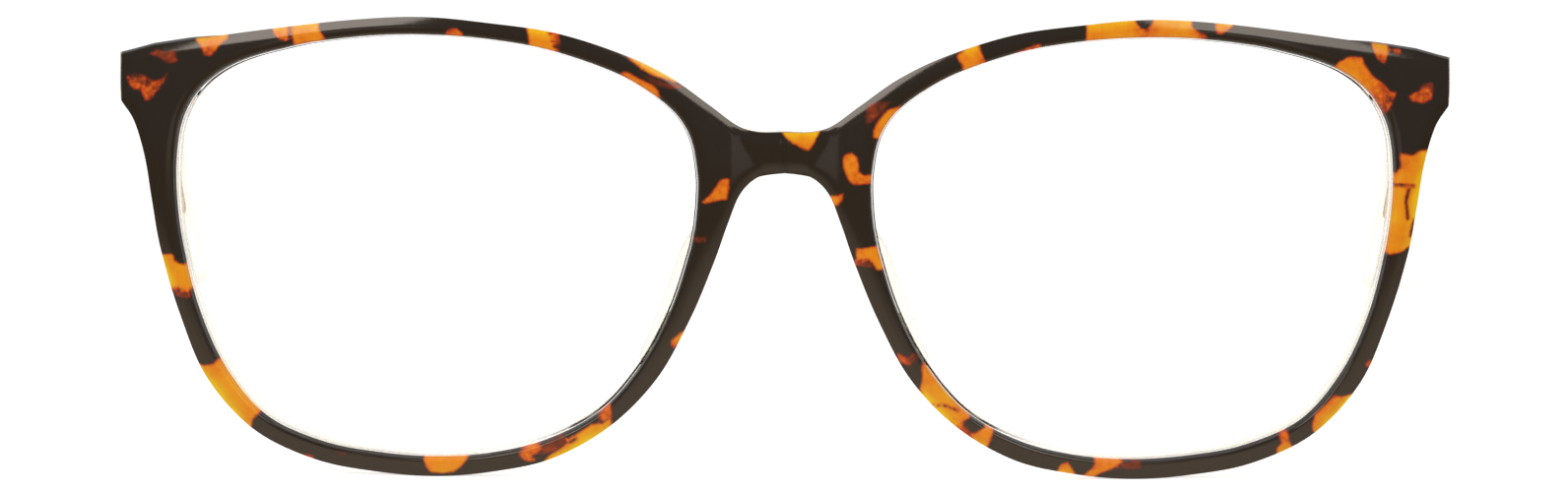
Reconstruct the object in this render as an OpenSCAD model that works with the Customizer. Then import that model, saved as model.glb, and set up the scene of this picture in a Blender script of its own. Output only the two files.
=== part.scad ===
// Full-rim acetate eyeglasses: a tortoiseshell front bonded to a clear layer, on five-barrel hinges.
// Row frame: X across the face, the front looks along -Y, the temples run along +Y, +Z is up.
// The glasses stand open on the rims and on the tips of the temples. The wearer's left is +X.

/* [Lenses] */
// Width of the lens opening
lens_w = 55.2; // [50:0.1:60]
// Height of the lens opening
lens_h = 44.6; // [38:0.1:50]
// Thickness of the lens
lens_t = 1.5; // [1.3:0.1:2]
// Base curve of the front, in dioptres
base_curve = 4; // [2:0.5:6]
// Angle by which each lens turns back towards the temple
face_angle = 5.5; // [2:0.5:8]

/* [Front] */
// Distance between the two lens openings
bridge_w = 17.9; // [15:0.1:22]
// Height of the bridge at its middle
bridge_h = 4.3; // [3:0.1:7]
// Drop from the top of the lens opening to the top of the bridge
bridge_drop = 10.15; // [8:0.05:13]
// Width of the rim over the lens
rim_top = 1.85; // [1.5:0.05:4]
// Width of the rim at the outer side
rim_side = 2.1; // [1.5:0.05:4]
// Width of the rim under the lens
rim_bottom = 1.75; // [1.5:0.05:4]
// Width of the rim beside the nose
rim_nose = 2.6; // [2:0.05:4]
// Thickness of the tortoiseshell layer
tortoise_t = 2; // [1.6:0.1:3]
// Thickness of the clear layer
crystal_t = 2; // [1.6:0.1:3]
// Radius of the rounded edges of the front
edge_r = 0.5; // [0.2:0.05:0.7]

/* [Lens groove] */
// Depth of the groove that holds the lens
groove_depth = 0.6; // [0.4:0.05:0.8]
// Half the width of the groove at its mouth
groove_half = 0.65; // [0.5:0.05:0.8]
// Clearance between the lens and its groove
lens_gap = 0.08; // [0.05:0.01:0.2]

/* [End pieces] */
// Reach of the end piece past the lens opening
end_reach = 5.5; // [5:0.1:8]
// Height of the end piece
end_h = 5; // [4.6:0.1:6]
// Drop from the top of the lens opening to the middle of the end piece
end_drop = 4.55; // [4:0.05:6]
// Depth of the end piece behind its outer corner
end_depth = 4; // [3.5:0.1:6]

/* [Hinges] */
// Radius of a hinge barrel
barrel_r = 1.4; // [1.2:0.05:1.6]
// Height of one of the five barrels
barrel_h = 1; // [0.9:0.05:1.1]
// Play between neighbouring barrels
barrel_play = 0.04; // [0.02:0.01:0.08]
// Distance from the hinge axis to the inner face of the temple
axis_inset = 1.7; // [1.65:0.05:2.2]
// Distance from the end piece to the hinge axis
axis_back = 2.3; // [2:0.05:3]
// Radius of the hinge screw
screw_r = 0.7; // [0.5:0.05:0.8]
// Clearance round the screw in the temple's barrels
bore_gap = 0.03; // [0.02:0.01:0.06]
// Radius of the screw head
head_r = 1.05; // [0.9:0.05:1.1]
// Height of the screw head
head_h = 0.5; // [0.4:0.05:0.6]
// Thickness of the plates that the barrels stand on
plate_t = 0.7; // [0.5:0.05:0.9]
// Height of the front plate
plate_h = 3.6; // [3:0.1:4]
// Depth of the anchor ribs behind the front plate
rib_depth = 1.9; // [1:0.1:2.2]
// Number of anchor ribs
rib_count = 3; // [2:1:3]
// Width of an anchor rib
rib_w = 0.5; // [0.3:0.05:0.6]
// Length of the temple plate
temple_plate_l = 9; // [7:0.5:11]
// Height of the temple plate
temple_plate_h = 2.6; // [2:0.1:3]
// Clearance of a sunk metal part in its pocket
pocket_gap = 0.02; // [0.01:0.01:0.05]

/* [Temples] */
// Length of a temple along its middle line
temple_l = 145; // [135:1:155]
// Length of the straight part, up to the ear bend
straight_l = 98; // [90:1:104]
// Angle of the ear bend
bend_angle = 34; // [30:1:42]
// Radius of the ear bend
bend_r = 45; // [30:1:55]
// Thickness of the tortoiseshell layer of a temple
temple_outer_t = 1.7; // [1.4:0.05:2.2]
// Thickness of the clear layer of a temple
temple_inner_t = 1.5; // [1.4:0.05:2]
// Height of a temple at the hinge
butt_h = 5.2; // [4.8:0.1:6]
// Height of the slim part of a temple
shaft_h = 4.5; // [4:0.1:5]
// Height of a temple near its tip
tip_h = 7.4; // [6:0.1:9]
// Inward curve of a temple at its tip
tip_inset = 4.6; // [0:0.1:6]
// Angle by which a temple leans inwards at its tip
tip_lean = 13; // [0:1:16]
// Radius of the rounded edges of a temple
temple_edge_r = 0.8; // [0.4:0.05:1.2]
// Gap between the end piece and the open temple
butt_gap = 0.08; // [0.05:0.01:0.15]
// Distance from the outer end of the front to the outer face of the temple
butt_inset = 0.25; // [0:0.05:0.6]
// Length over which the butt of a temple tapers and takes up the slope
butt_l = 9; // [7:0.5:12]
// Distance from the butt of a temple to its slim part
slim_from = 34; // [28:1:44]

/* [Core wires] */
// Height of the flat core wire
wire_h = 2.2; // [1.8:0.1:2.6]
// Thickness of the core wire
wire_t = 1.1; // [0.9:0.05:1.3]
// Distance from the butt of the temple to the start of the wire
wire_start = 14; // [12:0.5:20]
// Distance from the end of the wire to the tip of the temple
wire_end = 12; // [8:0.5:20]
// Clearance of the wire in its channel
wire_gap = 0.04; // [0.02:0.01:0.08]

/* [Nose pads] */
// Depth of a nose pad behind the rim
pad_depth = 5.5; // [4:0.1:8]
// Angle by which a nose pad opens towards the face
pad_splay = 12; // [8:1:30]
// Thickness of a nose pad at its back edge
pad_edge = 1.3; // [1:0.1:1.8]

/* [Hidden] */

// Heights and reaches that the outlines are hung on
lens_x = (bridge_w + lens_w) / 2;
lens_z = rim_bottom + lens_h / 2;
lens_top = rim_bottom + lens_h;
front_x = bridge_w / 2 + lens_w + end_reach;
end_seen = lens_top - end_drop;
bridge_top = lens_top - bridge_drop;
bridge_under = bridge_top - bridge_h;
front_t = tortoise_t + crystal_t;

// Edge of the lens opening, as shares of half its width and height, from the outer side over the top
LENS = [[0.971, 0], [0.995, 0.22], [0.998, 0.4], [0.982, 0.56], [0.945, 0.675], [0.89, 0.762],
        [0.812, 0.835], [0.718, 0.888], [0.596, 0.93], [0.452, 0.967], [0.217, 0.997], [0, 0.998],
        [-0.211, 0.977], [-0.432, 0.928], [-0.668, 0.83], [-0.81, 0.735], [-0.903, 0.645],
        [-0.952, 0.565], [-0.977, 0.493], [-0.99, 0.42], [-1, 0.314], [-0.999, 0.224],
        [-0.994, 0.143], [-0.986, 0.07], [-0.965, -0.045], [-0.898, -0.299], [-0.785, -0.562],
        [-0.63, -0.78], [-0.425, -0.917], [-0.211, -0.982], [0, -1], [0.213, -0.982],
        [0.435, -0.93], [0.652, -0.806], [0.808, -0.577], [0.909, -0.302]];

// Outer edge at the end piece: shares of its reach and of its height, from the middle of its outer end
END = [[-0.28, -0.96], [-0.045, -0.5], [-0.01, 0], [-0.045, 0.42], [-0.655, 0.63]];

// Outer edge over the lens: share of half the lens width, drop as a share of the lens height
BROW = [[0.85, 0.049], [0.632, 0.03], [0.317, 0.008], [0.053, 0.001], [-0.2, 0.015], [-0.455, 0.038],
        [-0.708, 0.087], [-0.89, 0.141]];

// Upper and lower edge of the bridge, as shares of half the bridge width, from the middle of each edge
BRIDGE_UPPER = [[0.89, 0.324], [0.56, 0.084], [0.31, 0], [0, 0]];
BRIDGE_LOWER = [[0, 0], [0.29, -0.039], [0.51, -0.235], [0.66, -0.592]];

// Widths of the rim from the nose under the lens to the outer side
RIM = [rim_nose, 0.81 * rim_nose, 0.77 * rim_nose, 0.95 * rim_bottom, 1.03 * rim_bottom,
       0.96 * rim_bottom, rim_bottom, 0.98 * rim_bottom, 0.97 * rim_bottom, 0.92 * rim_bottom,
       0.9 * rim_side, 0.83 * rim_side, 0.98 * rim_side, 1.1 * rim_side, 1.4 * rim_side];

// How far each row of the front takes part in the flat-backed block of the end piece
BLOCK = [for (k = [0:35]) k >= 3 && k <= 6 ? 1 : k == 7 ? 0.5 : 0];

// Stations between two rows of the outlines
STEPS = 2;
// Share of a radius by which the middle of a rounded edge stands in from its corner
CHAMFER = 0.29;
// Half the height by which the lens blank stands past its two faces before they are cut
BLANK_SPARE = 0.25;

// Radius of the front surface, in mm, from its dioptres
sphere_r = 530 / base_curve;
turn_x = lens_x - sphere_r * sin(face_angle);
nose_blend = 0.45 * bridge_w;

function unit(v) = v / norm(v);
function mix(a, b, t) = a + (b - a) * t;
function smooth(t) = let (u = min(1, max(0, t))) u * u * (3 - 2 * u);

// The front surface: a sphere for each eye, and the two joined smoothly over the nose
function eye_x(x) = abs(x) < nose_blend ? (x * x + nose_blend * nose_blend) / (2 * nose_blend) : abs(x);
function eye_dx(x) = abs(x) < nose_blend ? x / nose_blend : sign(x);
function ball_y(p) = sqrt(pow(sphere_r, 2) - pow(eye_x(p[0]) - turn_x, 2) - pow(p[1] - lens_z, 2));
function on_front(p) = [p[0], sphere_r - ball_y(p), p[1]];
function inward(p) = unit([-(eye_x(p[0]) - turn_x) * eye_dx(p[0]) / ball_y(p), 1,
                           -(p[1] - lens_z) / ball_y(p)]);
function at_depth(p, d) = on_front(p) + d * inward(p);

// The outlines are drawn as they look along the temples, from SEEN_AT degrees above the front.
// The front curves back towards its ends, which lifts them in that view. This sets a point upright.
SEEN_AT = 8;
function upright(p) = let (back = on_front(p)[1] - on_front([lens_x, 0])[1])
    [p[0], (p[1] - back * sin(SEEN_AT)) / cos(SEEN_AT)];
end_z = upright([front_x, end_seen])[1];
end_y = on_front([front_x, end_z])[1] + end_depth;

// The walls of the end piece run straight back, and its back is flat
function outer_at(p, d, k) = on_front(p) + d * mix(inward(p), [0, 1, 0], k);
function back_at(p, rise, k) = mix(at_depth(p, front_t - rise), [p[0], end_y - rise, p[1]], k);

// Catmull-Rom curve through four points, between the middle two
function curve(a, b, c, d, t) = b + t / 2 * (c - a + t * (2 * a - 5 * b + 4 * c - d
                                                         + t * (3 * (b - c) + d - a)));
function mirrored(p) = [-p[0], p[1]];
function right_of(v) = norm(v) < 0.001 ? [0, 0] : unit([v[1], -v[0]]);

lens_rows = [for (p = LENS) [lens_x + p[0] * lens_w / 2, lens_z + p[1] * lens_h / 2]];
rows = len(lens_rows);
count = rows * STEPS;
function row(list, k) = list[(k + rows) % rows];
function lens_normal(k) = right_of(row(lens_rows, k + 1) - row(lens_rows, k - 1));
function beside(k, width) = row(lens_rows, k) + width * lens_normal(k);

// First row of each stretch of the outer edge
END_ROW = 3;
BROW_ROW = 8;
BRIDGE_ROW = 16;
AXIS_ROW = 19;
NOSE_ROW = 24;
front_rows = concat(
    [for (k = [0:END_ROW - 1]) beside(k, RIM[rows - NOSE_ROW + k])],
    [for (p = END) [front_x + p[0] * end_reach, end_seen + p[1] * end_h]],
    [for (p = BROW) [lens_x + p[0] * lens_w / 2, lens_top + rim_top - p[1] * lens_h]],
    [for (p = BRIDGE_UPPER) p * bridge_w / 2 + [0, bridge_top]],
    [for (p = BRIDGE_LOWER) p * bridge_w / 2 + [0, bridge_under]],
    [for (k = [NOSE_ROW:rows - 1]) beside(k, RIM[k - NOSE_ROW])]);

// Stations: points of both outlines, closely spaced, and their normals
lens_edge = [for (i = [0:count - 1]) let (k = floor(i / STEPS))
    upright(curve(row(lens_rows, k - 1), row(lens_rows, k), row(lens_rows, k + 1), row(lens_rows, k + 2),
                  (i % STEPS) / STEPS))];
front_edge = [for (i = [0:count - 1])
    let (k = floor(i / STEPS), t = (i % STEPS) / STEPS, a = row(front_rows, k), b = row(front_rows, k + 1))
    upright(k == AXIS_ROW ? mix(a, b, t)
            : curve(k == AXIS_ROW + 1 ? mirrored(b) : row(front_rows, k - 1), a, b,
                    k == AXIS_ROW - 1 ? mirrored(a) : row(front_rows, k + 2), t))];
axis_first = AXIS_ROW * STEPS;
axis_last = axis_first + STEPS;
function on_axis(i) = i >= axis_first && i <= axis_last;
function station(list, i) = list[(i + count) % count];
lens_out = [for (i = [0:count - 1]) right_of(station(lens_edge, i + 1) - station(lens_edge, i - 1))];
front_out = [for (i = [0:count - 1])
    i == axis_first ? [0, 1] : i == axis_last ? [0, -1] : on_axis(i) ? [0, 0]
    : right_of(station(front_edge, i + 1) - station(front_edge, i - 1))];
block = [for (i = [0:count - 1]) let (k = floor(i / STEPS))
    mix(row(BLOCK, k), row(BLOCK, k + 1), smooth((i % STEPS) / STEPS))];

// Sections of the two layers at a station, from the apex of the groove to the joint at the outer edge.
// The last four points lie at the outer edge. The block's flat back starts close to the lens.
OUTER_POINTS = 4;
MIDDLE = 0.5;
BLOCK_START = 0.13;
function groove_apex(i) = at_depth(lens_edge[i] + groove_depth * lens_out[i], tortoise_t);
function joint_out(i) = outer_at(front_edge[i], tortoise_t, block[i]);
function tortoise_section(i) = let (p = lens_edge[i], n = lens_out[i], q = front_edge[i], m = front_out[i])
    [groove_apex(i), at_depth(p, tortoise_t - groove_half), at_depth(p, edge_r),
     at_depth(p + CHAMFER * edge_r * n, CHAMFER * edge_r), at_depth(p + edge_r * n, 0),
     on_front(mix(p, q, MIDDLE)), on_front(q - edge_r * m),
     outer_at(q - CHAMFER * edge_r * m, CHAMFER * edge_r, block[i]),
     outer_at(q, edge_r, block[i]), joint_out(i)];
function crystal_section(i) = let (p = lens_edge[i], n = lens_out[i], q = front_edge[i], m = front_out[i])
    [groove_apex(i), at_depth(p, tortoise_t + groove_half), at_depth(p, front_t - edge_r),
     at_depth(p + CHAMFER * edge_r * n, front_t - CHAMFER * edge_r), at_depth(p + edge_r * n, front_t),
     back_at(mix(p, q, mix(MIDDLE, BLOCK_START, block[i])), 0, block[i]),
     back_at(q - edge_r * m, 0, block[i]),
     back_at(q - CHAMFER * edge_r * m, CHAMFER * edge_r, block[i]),
     back_at(q, edge_r, block[i]), joint_out(i)];

function turned(face, flip) = flip ? [face[2], face[1], face[0]] : face;

// One closed solid from the sections of one eye and their mirror images, joined on the nose line
module front_solid(sections, flip) {
    size = len(sections[0]);
    points = [for (side = [1, -1], s = sections, p = s) [side * p[0], p[1], p[2]]];
    function index(side, i, j) = let (n = (i + count) % count, m = j % size)
        (side == 1 && on_axis(n) && m >= size - OUTER_POINTS ? 0 : side) * count * size + n * size + m;
    faces = [for (side = [0, 1], i = [0:count - 1], j = [0:size - 1])
        if (!(on_axis(i) && on_axis(i + 1) && j >= size - OUTER_POINTS && j < size - 1))
            let (a = index(side, i, j), b = index(side, i + 1, j),
                 c = index(side, i + 1, j + 1), d = index(side, i, j + 1))
            each [turned([a, b, c], flip == (side == 0)), turned([a, c, d], flip == (side == 0))]];
    polyhedron(points, faces);
}

// A solid skinned over closed rings of points, with a flat or pointed cap at each end
module loft(rings, first, last, flip = false) {
    size = len(rings[0]);
    ends = len(rings) * size;
    points = concat([for (r = rings, p = r) p], [first, last]);
    sides = [for (i = [0:len(rings) - 2], j = [0:size - 1])
        let (a = i * size + j, b = i * size + (j + 1) % size, c = b + size, d = a + size)
        each [turned([a, b, c], flip), turned([a, c, d], flip)]];
    start = [for (j = [0:size - 1]) turned([(j + 1) % size, j, ends], flip)];
    finish = [for (j = [0:size - 1])
        turned([ends - size + j, ends - size + (j + 1) % size, ends + 1], flip)];
    polyhedron(points, concat(sides, start, finish));
}
function middle(ring) = [for (a = [0:2]) [for (p = ring) 1] * [for (p = ring) p[a]] / len(ring)];
module capped(rings, flip = false) loft(rings, middle(rings[0]), middle(rings[len(rings) - 1]), flip);

// A temple's middle line falls at a slope that sets its tip on the table, then bends behind the ear
butt_y = end_y + butt_gap;
temple_x = front_x - butt_inset;
bond_x = temple_x - temple_outer_t;
hinge_x = bond_x - temple_inner_t - axis_inset;
hinge_y = end_y + axis_back;
tip_r = tip_h / 2;
bend_l = bend_r * bend_angle * PI / 180;
bend_end = straight_l + bend_l;
tail_l = temple_l - bend_end - tip_r;
run = straight_l + bend_r * sin(bend_angle) + tail_l * cos(bend_angle);
fall = bend_r * (1 - cos(bend_angle)) + tail_l * sin(bend_angle);
// A leaning tip stands on its outer edge, so it reaches a little lower than an upright one
LEAN_FOOT = 0.25;
tip_foot = tip_r + LEAN_FOOT * sin(tip_lean);
slope = asin((end_z - tip_foot) / norm([run, fall])) - atan2(fall, run);

function line_angle(s) = slope + bend_angle * min(1, max(0, (s - straight_l) / bend_l));
function bent(s) = let (a = line_angle(s))
    [bend_r * (sin(a) - sin(slope)), -bend_r * (cos(slope) - cos(a))];
function along(a, l) = l * [cos(a), -sin(a)];
function line_at(s) = along(slope, min(s, straight_l))
    + (s > straight_l ? bent(s) : [0, 0])
    + along(slope + bend_angle, max(0, s - bend_end));

// Stations along a temple, with those where the channel of the core wire starts and ends
wire_last = temple_l - wire_end;
CHANNEL_RAMP = 0.6;
temple_s = concat(
    [0, 0.1 * butt_l, 0.55 * butt_l, butt_l],
    [wire_start - 2 * CHANNEL_RAMP, wire_start - CHANNEL_RAMP, wire_start],
    [for (i = [1:4]) mix(wire_start, straight_l, i / 4)],
    [for (i = [1:7]) mix(straight_l, bend_end, i / 7)],
    [mix(bend_end, wire_last, 0.5), wire_last, wire_last + CHANNEL_RAMP, wire_last + 2 * CHANNEL_RAMP],
    [for (t = [0, 0.4, 0.7, 0.88, 0.98]) temple_l - tip_r * (1 - t)]);
function in_channel(s) = s > wire_start - 1.5 * CHANNEL_RAMP && s < wire_last + 1.5 * CHANNEL_RAMP;
function tip_share(s) = max(0, 1 - (temple_l - s) / tip_r);
function height_at(s) = lookup(s, [[0, butt_h], [butt_l, mix(butt_h, shaft_h, 0.6)], [slim_from, shaft_h],
                                   [straight_l, mix(shaft_h, tip_h, 0.14)],
                                   [bend_end, mix(shaft_h, tip_h, 0.8)],
                                   [wire_last, tip_h]]) * sqrt(1 - pow(tip_share(s), 2));
TIP_SLIMNESS = 0.75;
function slim_at(s) = sqrt(1 - pow(TIP_SLIMNESS * tip_share(s), 2));

// From the ear bend on, a temple is drawn in and leans inwards, as it lies against the head
EAR_POWER = 1.2;
function behind_ear(s) = pow(max(0, (s - straight_l) / (temple_l - straight_l)), EAR_POWER);
function leaning(s, x, v) = let (a = tip_lean * behind_ear(s))
    [x * cos(a) + v * sin(a), v * cos(a) - x * sin(a)];
function temple_point(s, x, v) = let (c = line_at(s), a = line_angle(s) * smooth(s / butt_l),
                                      p = leaning(s, x, v))
    [bond_x - tip_inset * behind_ear(s) + p[0],
     butt_y + c[0] + p[1] * sin(a), end_z + c[1] + p[1] * cos(a)];

// Section of one layer: out from the bond to a rounded face, and back round half the wire's channel
function layer_section(s, thickness) = let (side = sign(thickness), t = abs(thickness) * slim_at(s),
        h = height_at(s) / 2, r = min(temple_edge_r, 0.5 * h), c = CHAMFER * r,
        wh = min(wire_h / 2 + wire_gap, 0.5 * h), wt = in_channel(s) ? wire_t / 2 + wire_gap : 0)
    [for (p = [[0, -h], [t - r, -h], [t - c, c - h], [t, r - h], [t, h - r], [t - c, h - c], [t - r, h],
               [0, h], [0, wh], [wt, 0.7 * wh], [wt, -0.7 * wh], [0, -wh]])
        temple_point(s, side * p[0], p[1])];
function wire_section(s) = let (h = wire_h / 2, t = wire_t / 2)
    [for (p = [[0, -h], [t, -0.7 * h], [t, 0.7 * h], [0, h], [-t, 0.7 * h], [-t, -0.7 * h]])
        temple_point(s, p[0], p[1])];

// The origin is under the middle of the whole: halfway between the front and the temple tips
nearest_y = min([for (p = concat(lens_edge, front_edge)) on_front(p)[1]]);
farthest_y = max([for (s = temple_s, p = layer_section(s, temple_outer_t)) p[1]]);
middle_y = (nearest_y + farthest_y) / 2;
module placed() translate([0, -middle_y, 0]) children();
module right_side() mirror([1, 0, 0]) children();

tortoise = [0.27, 0.14, 0.07];
crystal = [0.93, 0.9, 0.82, 0.6];
steel = [0.75, 0.75, 0.77];

module front_tortoise_layer()
    color(tortoise) placed() front_solid([for (i = [0:count - 1]) tortoise_section(i)], false);

module front_crystal_layer()
    color(crystal) placed() difference() {
        front_solid([for (i = [0:count - 1]) crystal_section(i)], true);
        front_anchor(pocket_gap);
        right_side() front_anchor(pocket_gap);
    }

// Lens: a bevelled blank that follows the groove, cut by the two spheres of its faces
module lens() {
    rim_depths = [[-lens_gap, -lens_t / 2 - BLANK_SPARE], [-lens_gap, -groove_half],
                  [groove_depth - lens_gap, 0], [-lens_gap, groove_half],
                  [-lens_gap, lens_t / 2 + BLANK_SPARE]];
    rings = [for (r = rim_depths) [for (i = [0:count - 1])
        at_depth(lens_edge[i] + r[0] * lens_out[i], tortoise_t + r[1])]];
    difference() {
        intersection() {
            loft(rings, on_front([lens_x, lens_z]) - [0, lens_h / 8, 0],
                 at_depth([lens_x, lens_z], tortoise_t + lens_t / 2 + BLANK_SPARE), true);
            lens_ball(tortoise_t - lens_t / 2);
        }
        lens_ball(tortoise_t + lens_t / 2);
    }
}
module lens_ball(d) translate([turn_x, sphere_r, lens_z]) sphere(sphere_r - d, $fn = 360);
module lens_left() color([0.85, 0.9, 0.92, 0.35]) placed() lens();
module lens_right() color([0.85, 0.9, 0.92, 0.35]) placed() right_side() lens();

// Nose pad: stands on the back of the rim beside the nose, opens towards the face
PAD_FIRST = 23 * STEPS;
PAD_LAST = 26 * STEPS;
PAD_SPARE = 0.35;
function pad_section(i) = let (
        p = lens_edge[i] + edge_r * lens_out[i], q = front_edge[i] - edge_r * front_out[i],
        a = at_depth(q, front_t), b = at_depth(p, front_t), w = unit(b - a),
        swell = pow(sin(180 * (i - PAD_FIRST + PAD_SPARE) / (PAD_LAST - PAD_FIRST + 2 * PAD_SPARE)), 0.7),
        side = -[lens_out[i][0], 0, lens_out[i][1]],
        d = swell * pad_depth * (cos(pad_splay) * [0, 1, 0] + sin(pad_splay) * side),
        c = mix(a, b, 0.5) + d)
    [a, mix(a, c - pad_edge / 2 * w, 0.55) - 0.2 * swell * w, c - pad_edge / 2 * w,
     c + 0.08 * d, c + pad_edge / 2 * w, mix(b, c + pad_edge / 2 * w, 0.5) + 0.2 * swell * w, b];
module nose_pad() placed() capped([for (i = [PAD_FIRST:PAD_LAST]) pad_section(i)]);
module nose_pad_left() color(crystal) nose_pad();
module nose_pad_right() color(crystal) right_side() nose_pad();

// Five barrels on one axis: the front carries the first, third and fifth, the temple the other two
BARRELS = 5;
hinge_half = BARRELS * barrel_h / 2;
bore_r = screw_r + bore_gap;
head_sink = 0.8 * head_h;
module box(low, high) translate(low) cube(high - low);
module barrel(k, arm) difference() {
    low = end_z - hinge_half + k * barrel_h + barrel_play / 2;
    high = low + barrel_h - barrel_play;
    union() {
        translate([hinge_x, hinge_y, low]) cylinder(r = barrel_r, h = high - low, $fn = 48);
        translate([hinge_x, hinge_y, 0]) box([arm[0][0], arm[0][1], low], [arm[1][0], arm[1][1], high]);
    }
    translate([hinge_x, hinge_y, low - 1]) cylinder(r = bore_r, h = barrel_h + 2, $fn = 48);
}

// The front plate is sunk flush in the back of the end piece and held by upright ribs.
// The ribs stand in a little from all its edges.
RIB_SHARE = 0.9;
module front_anchor(gap) {
    half = barrel_r + gap;
    high = plate_h / 2 + gap;
    spread = RIB_SHARE * (barrel_r - rib_w / 2);
    box([hinge_x - half, end_y - plate_t - gap, end_z - high], [hinge_x + half, end_y + gap, end_z + high]);
    for (k = [0:rib_count - 1]) {
        x = hinge_x + spread * (2 * k / (rib_count - 1) - 1);
        box([x - rib_w / 2 - gap, end_y - plate_t - rib_depth - gap, end_z - RIB_SHARE * high],
            [x + rib_w / 2 + gap, end_y - plate_t, end_z + RIB_SHARE * high]);
    }
}
module front_hinge() placed() difference() {
    union() {
        front_anchor(0);
        for (k = [0:2:BARRELS - 1]) barrel(k, [[-barrel_r, -axis_back], [barrel_r, 0]]);
    }
    translate([hinge_x, hinge_y, end_z + hinge_half - head_sink])
        cylinder(r = head_r + bore_gap, h = 2, $fn = 48);
}
module front_hinge_left() color(steel) front_hinge();
module front_hinge_right() color(steel) right_side() front_hinge();

// The temple plate is sunk flush in the inner face of the temple and lies along its slope
PLATE_SETBACK = 0.6;
module temple_plate(gap)
    translate([hinge_x + axis_inset, butt_y, end_z]) rotate([-slope, 0, 0])
        box([-gap, PLATE_SETBACK - gap, -temple_plate_h / 2 - gap],
            [plate_t + gap, PLATE_SETBACK + temple_plate_l + gap, temple_plate_h / 2 + gap]);
module temple_hinge() placed() union() {
    temple_plate(0);
    for (k = [1:2:BARRELS - 1]) barrel(k, [[0, -barrel_r], [axis_inset, barrel_r]]);
}
module temple_hinge_left() color(steel) temple_hinge();
module temple_hinge_right() color(steel) right_side() temple_hinge();

// Screw: a slotted head sunk in the top barrel, and a shank through all five
SLOT_W = 0.3;
SLOT_DEPTH = 0.25;
module hinge_screw() placed() translate([hinge_x, hinge_y, end_z + hinge_half - head_sink])
    difference() {
        union() {
            cylinder(r = head_r, h = head_h, $fn = 48);
            translate([0, 0, head_sink - 2 * hinge_half]) cylinder(r = screw_r, h = 2 * hinge_half, $fn = 48);
        }
        box([-2 * head_r, -SLOT_W / 2, head_h - SLOT_DEPTH], [2 * head_r, SLOT_W / 2, head_h + 1]);
    }
module hinge_screw_left() color(steel) hinge_screw();
module hinge_screw_right() color(steel) right_side() hinge_screw();

module temple_layer(thickness) capped([for (s = temple_s) layer_section(s, thickness)], thickness > 0);
module temple_outer() placed() temple_layer(temple_outer_t);
module temple_inner() placed() difference() {
    temple_layer(-temple_inner_t);
    temple_plate(pocket_gap);
}
module core_wire() placed()
    capped([for (s = temple_s) if (s >= wire_start && s <= wire_last) wire_section(s)], true);
module temple_outer_left() color(tortoise) temple_outer();
module temple_outer_right() color(tortoise) right_side() temple_outer();
module temple_inner_left() color(crystal) temple_inner();
module temple_inner_right() color(crystal) right_side() temple_inner();
module core_wire_left() color(steel) core_wire();
module core_wire_right() color(steel) right_side() core_wire();

front_tortoise_layer();
front_crystal_layer();
lens_left();
lens_right();
nose_pad_left();
nose_pad_right();
front_hinge_left();
front_hinge_right();
temple_hinge_left();
temple_hinge_right();
hinge_screw_left();
hinge_screw_right();
temple_outer_left();
temple_outer_right();
temple_inner_left();
temple_inner_right();
core_wire_left();
core_wire_right();
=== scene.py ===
# %% [markdown]
# # Tortoiseshell acetate eyeglasses
# A pair of full-rim glasses is cut from sheets of cellulose acetate. Here each sheet is two
# layers: tortoiseshell in front and clear behind. The glasses' construction, its real sizes and
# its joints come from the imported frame. This file gives every piece its finished form and
# surface. It works in millimetres while a piece is shaped, and scales it to metres at the end.

# %% Load the frame
import math
import random

import bmesh
import bpy
from mathutils import Matrix, Vector
from mathutils.kdtree import KDTree


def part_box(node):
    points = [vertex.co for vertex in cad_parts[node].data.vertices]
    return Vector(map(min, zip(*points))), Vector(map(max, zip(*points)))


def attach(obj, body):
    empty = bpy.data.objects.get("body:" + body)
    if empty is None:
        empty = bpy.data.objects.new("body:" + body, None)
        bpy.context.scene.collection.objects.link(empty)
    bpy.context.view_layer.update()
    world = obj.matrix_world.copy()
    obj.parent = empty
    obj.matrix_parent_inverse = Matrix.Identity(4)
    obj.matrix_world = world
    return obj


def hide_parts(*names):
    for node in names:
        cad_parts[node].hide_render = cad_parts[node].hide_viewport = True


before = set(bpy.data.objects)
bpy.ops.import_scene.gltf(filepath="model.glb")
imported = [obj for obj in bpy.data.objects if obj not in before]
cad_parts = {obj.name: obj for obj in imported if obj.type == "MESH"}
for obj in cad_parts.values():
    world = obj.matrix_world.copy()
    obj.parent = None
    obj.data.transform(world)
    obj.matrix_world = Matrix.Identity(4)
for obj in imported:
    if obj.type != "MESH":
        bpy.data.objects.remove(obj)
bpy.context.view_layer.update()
MM = 0.001

# %% [markdown]
# ## Sizes of the front
# A designer draws the front as two outlines: the edge of the lens opening and the outer edge.
# A few sizes hold both, and the outlines are lists of shares of them. The nodes of the frame
# have the same outlines with fewer points, so the sizes are the same numbers, in millimetres.
# Only the rounding of the edges is finer here. The outlines are those of the photograph, which
# looks along the temples, 8 degrees from above.

# %% Sizes
LENS_W, LENS_H, LENS_T = 55.2, 44.6, 1.5
BRIDGE_W, BRIDGE_H, BRIDGE_DROP = 17.9, 4.3, 10.15
RIM_TOP, RIM_SIDE, RIM_BOTTOM, RIM_NOSE = 1.85, 2.1, 1.75, 2.6
TORTOISE_T, CRYSTAL_T = 2.0, 2.0
EDGE_R, OUTER_EDGE_R, LENS_EDGE_R = 0.5, 0.35, 0.22
GROOVE_DEPTH, GROOVE_HALF, LENS_GAP = 0.6, 0.65, 0.08
END_REACH, END_H, END_DROP, END_DEPTH = 5.5, 5.0, 4.55, 4.0
BASE_CURVE, FACE_ANGLE = 4, 5.5
SEEN_AT = math.radians(8)

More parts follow.
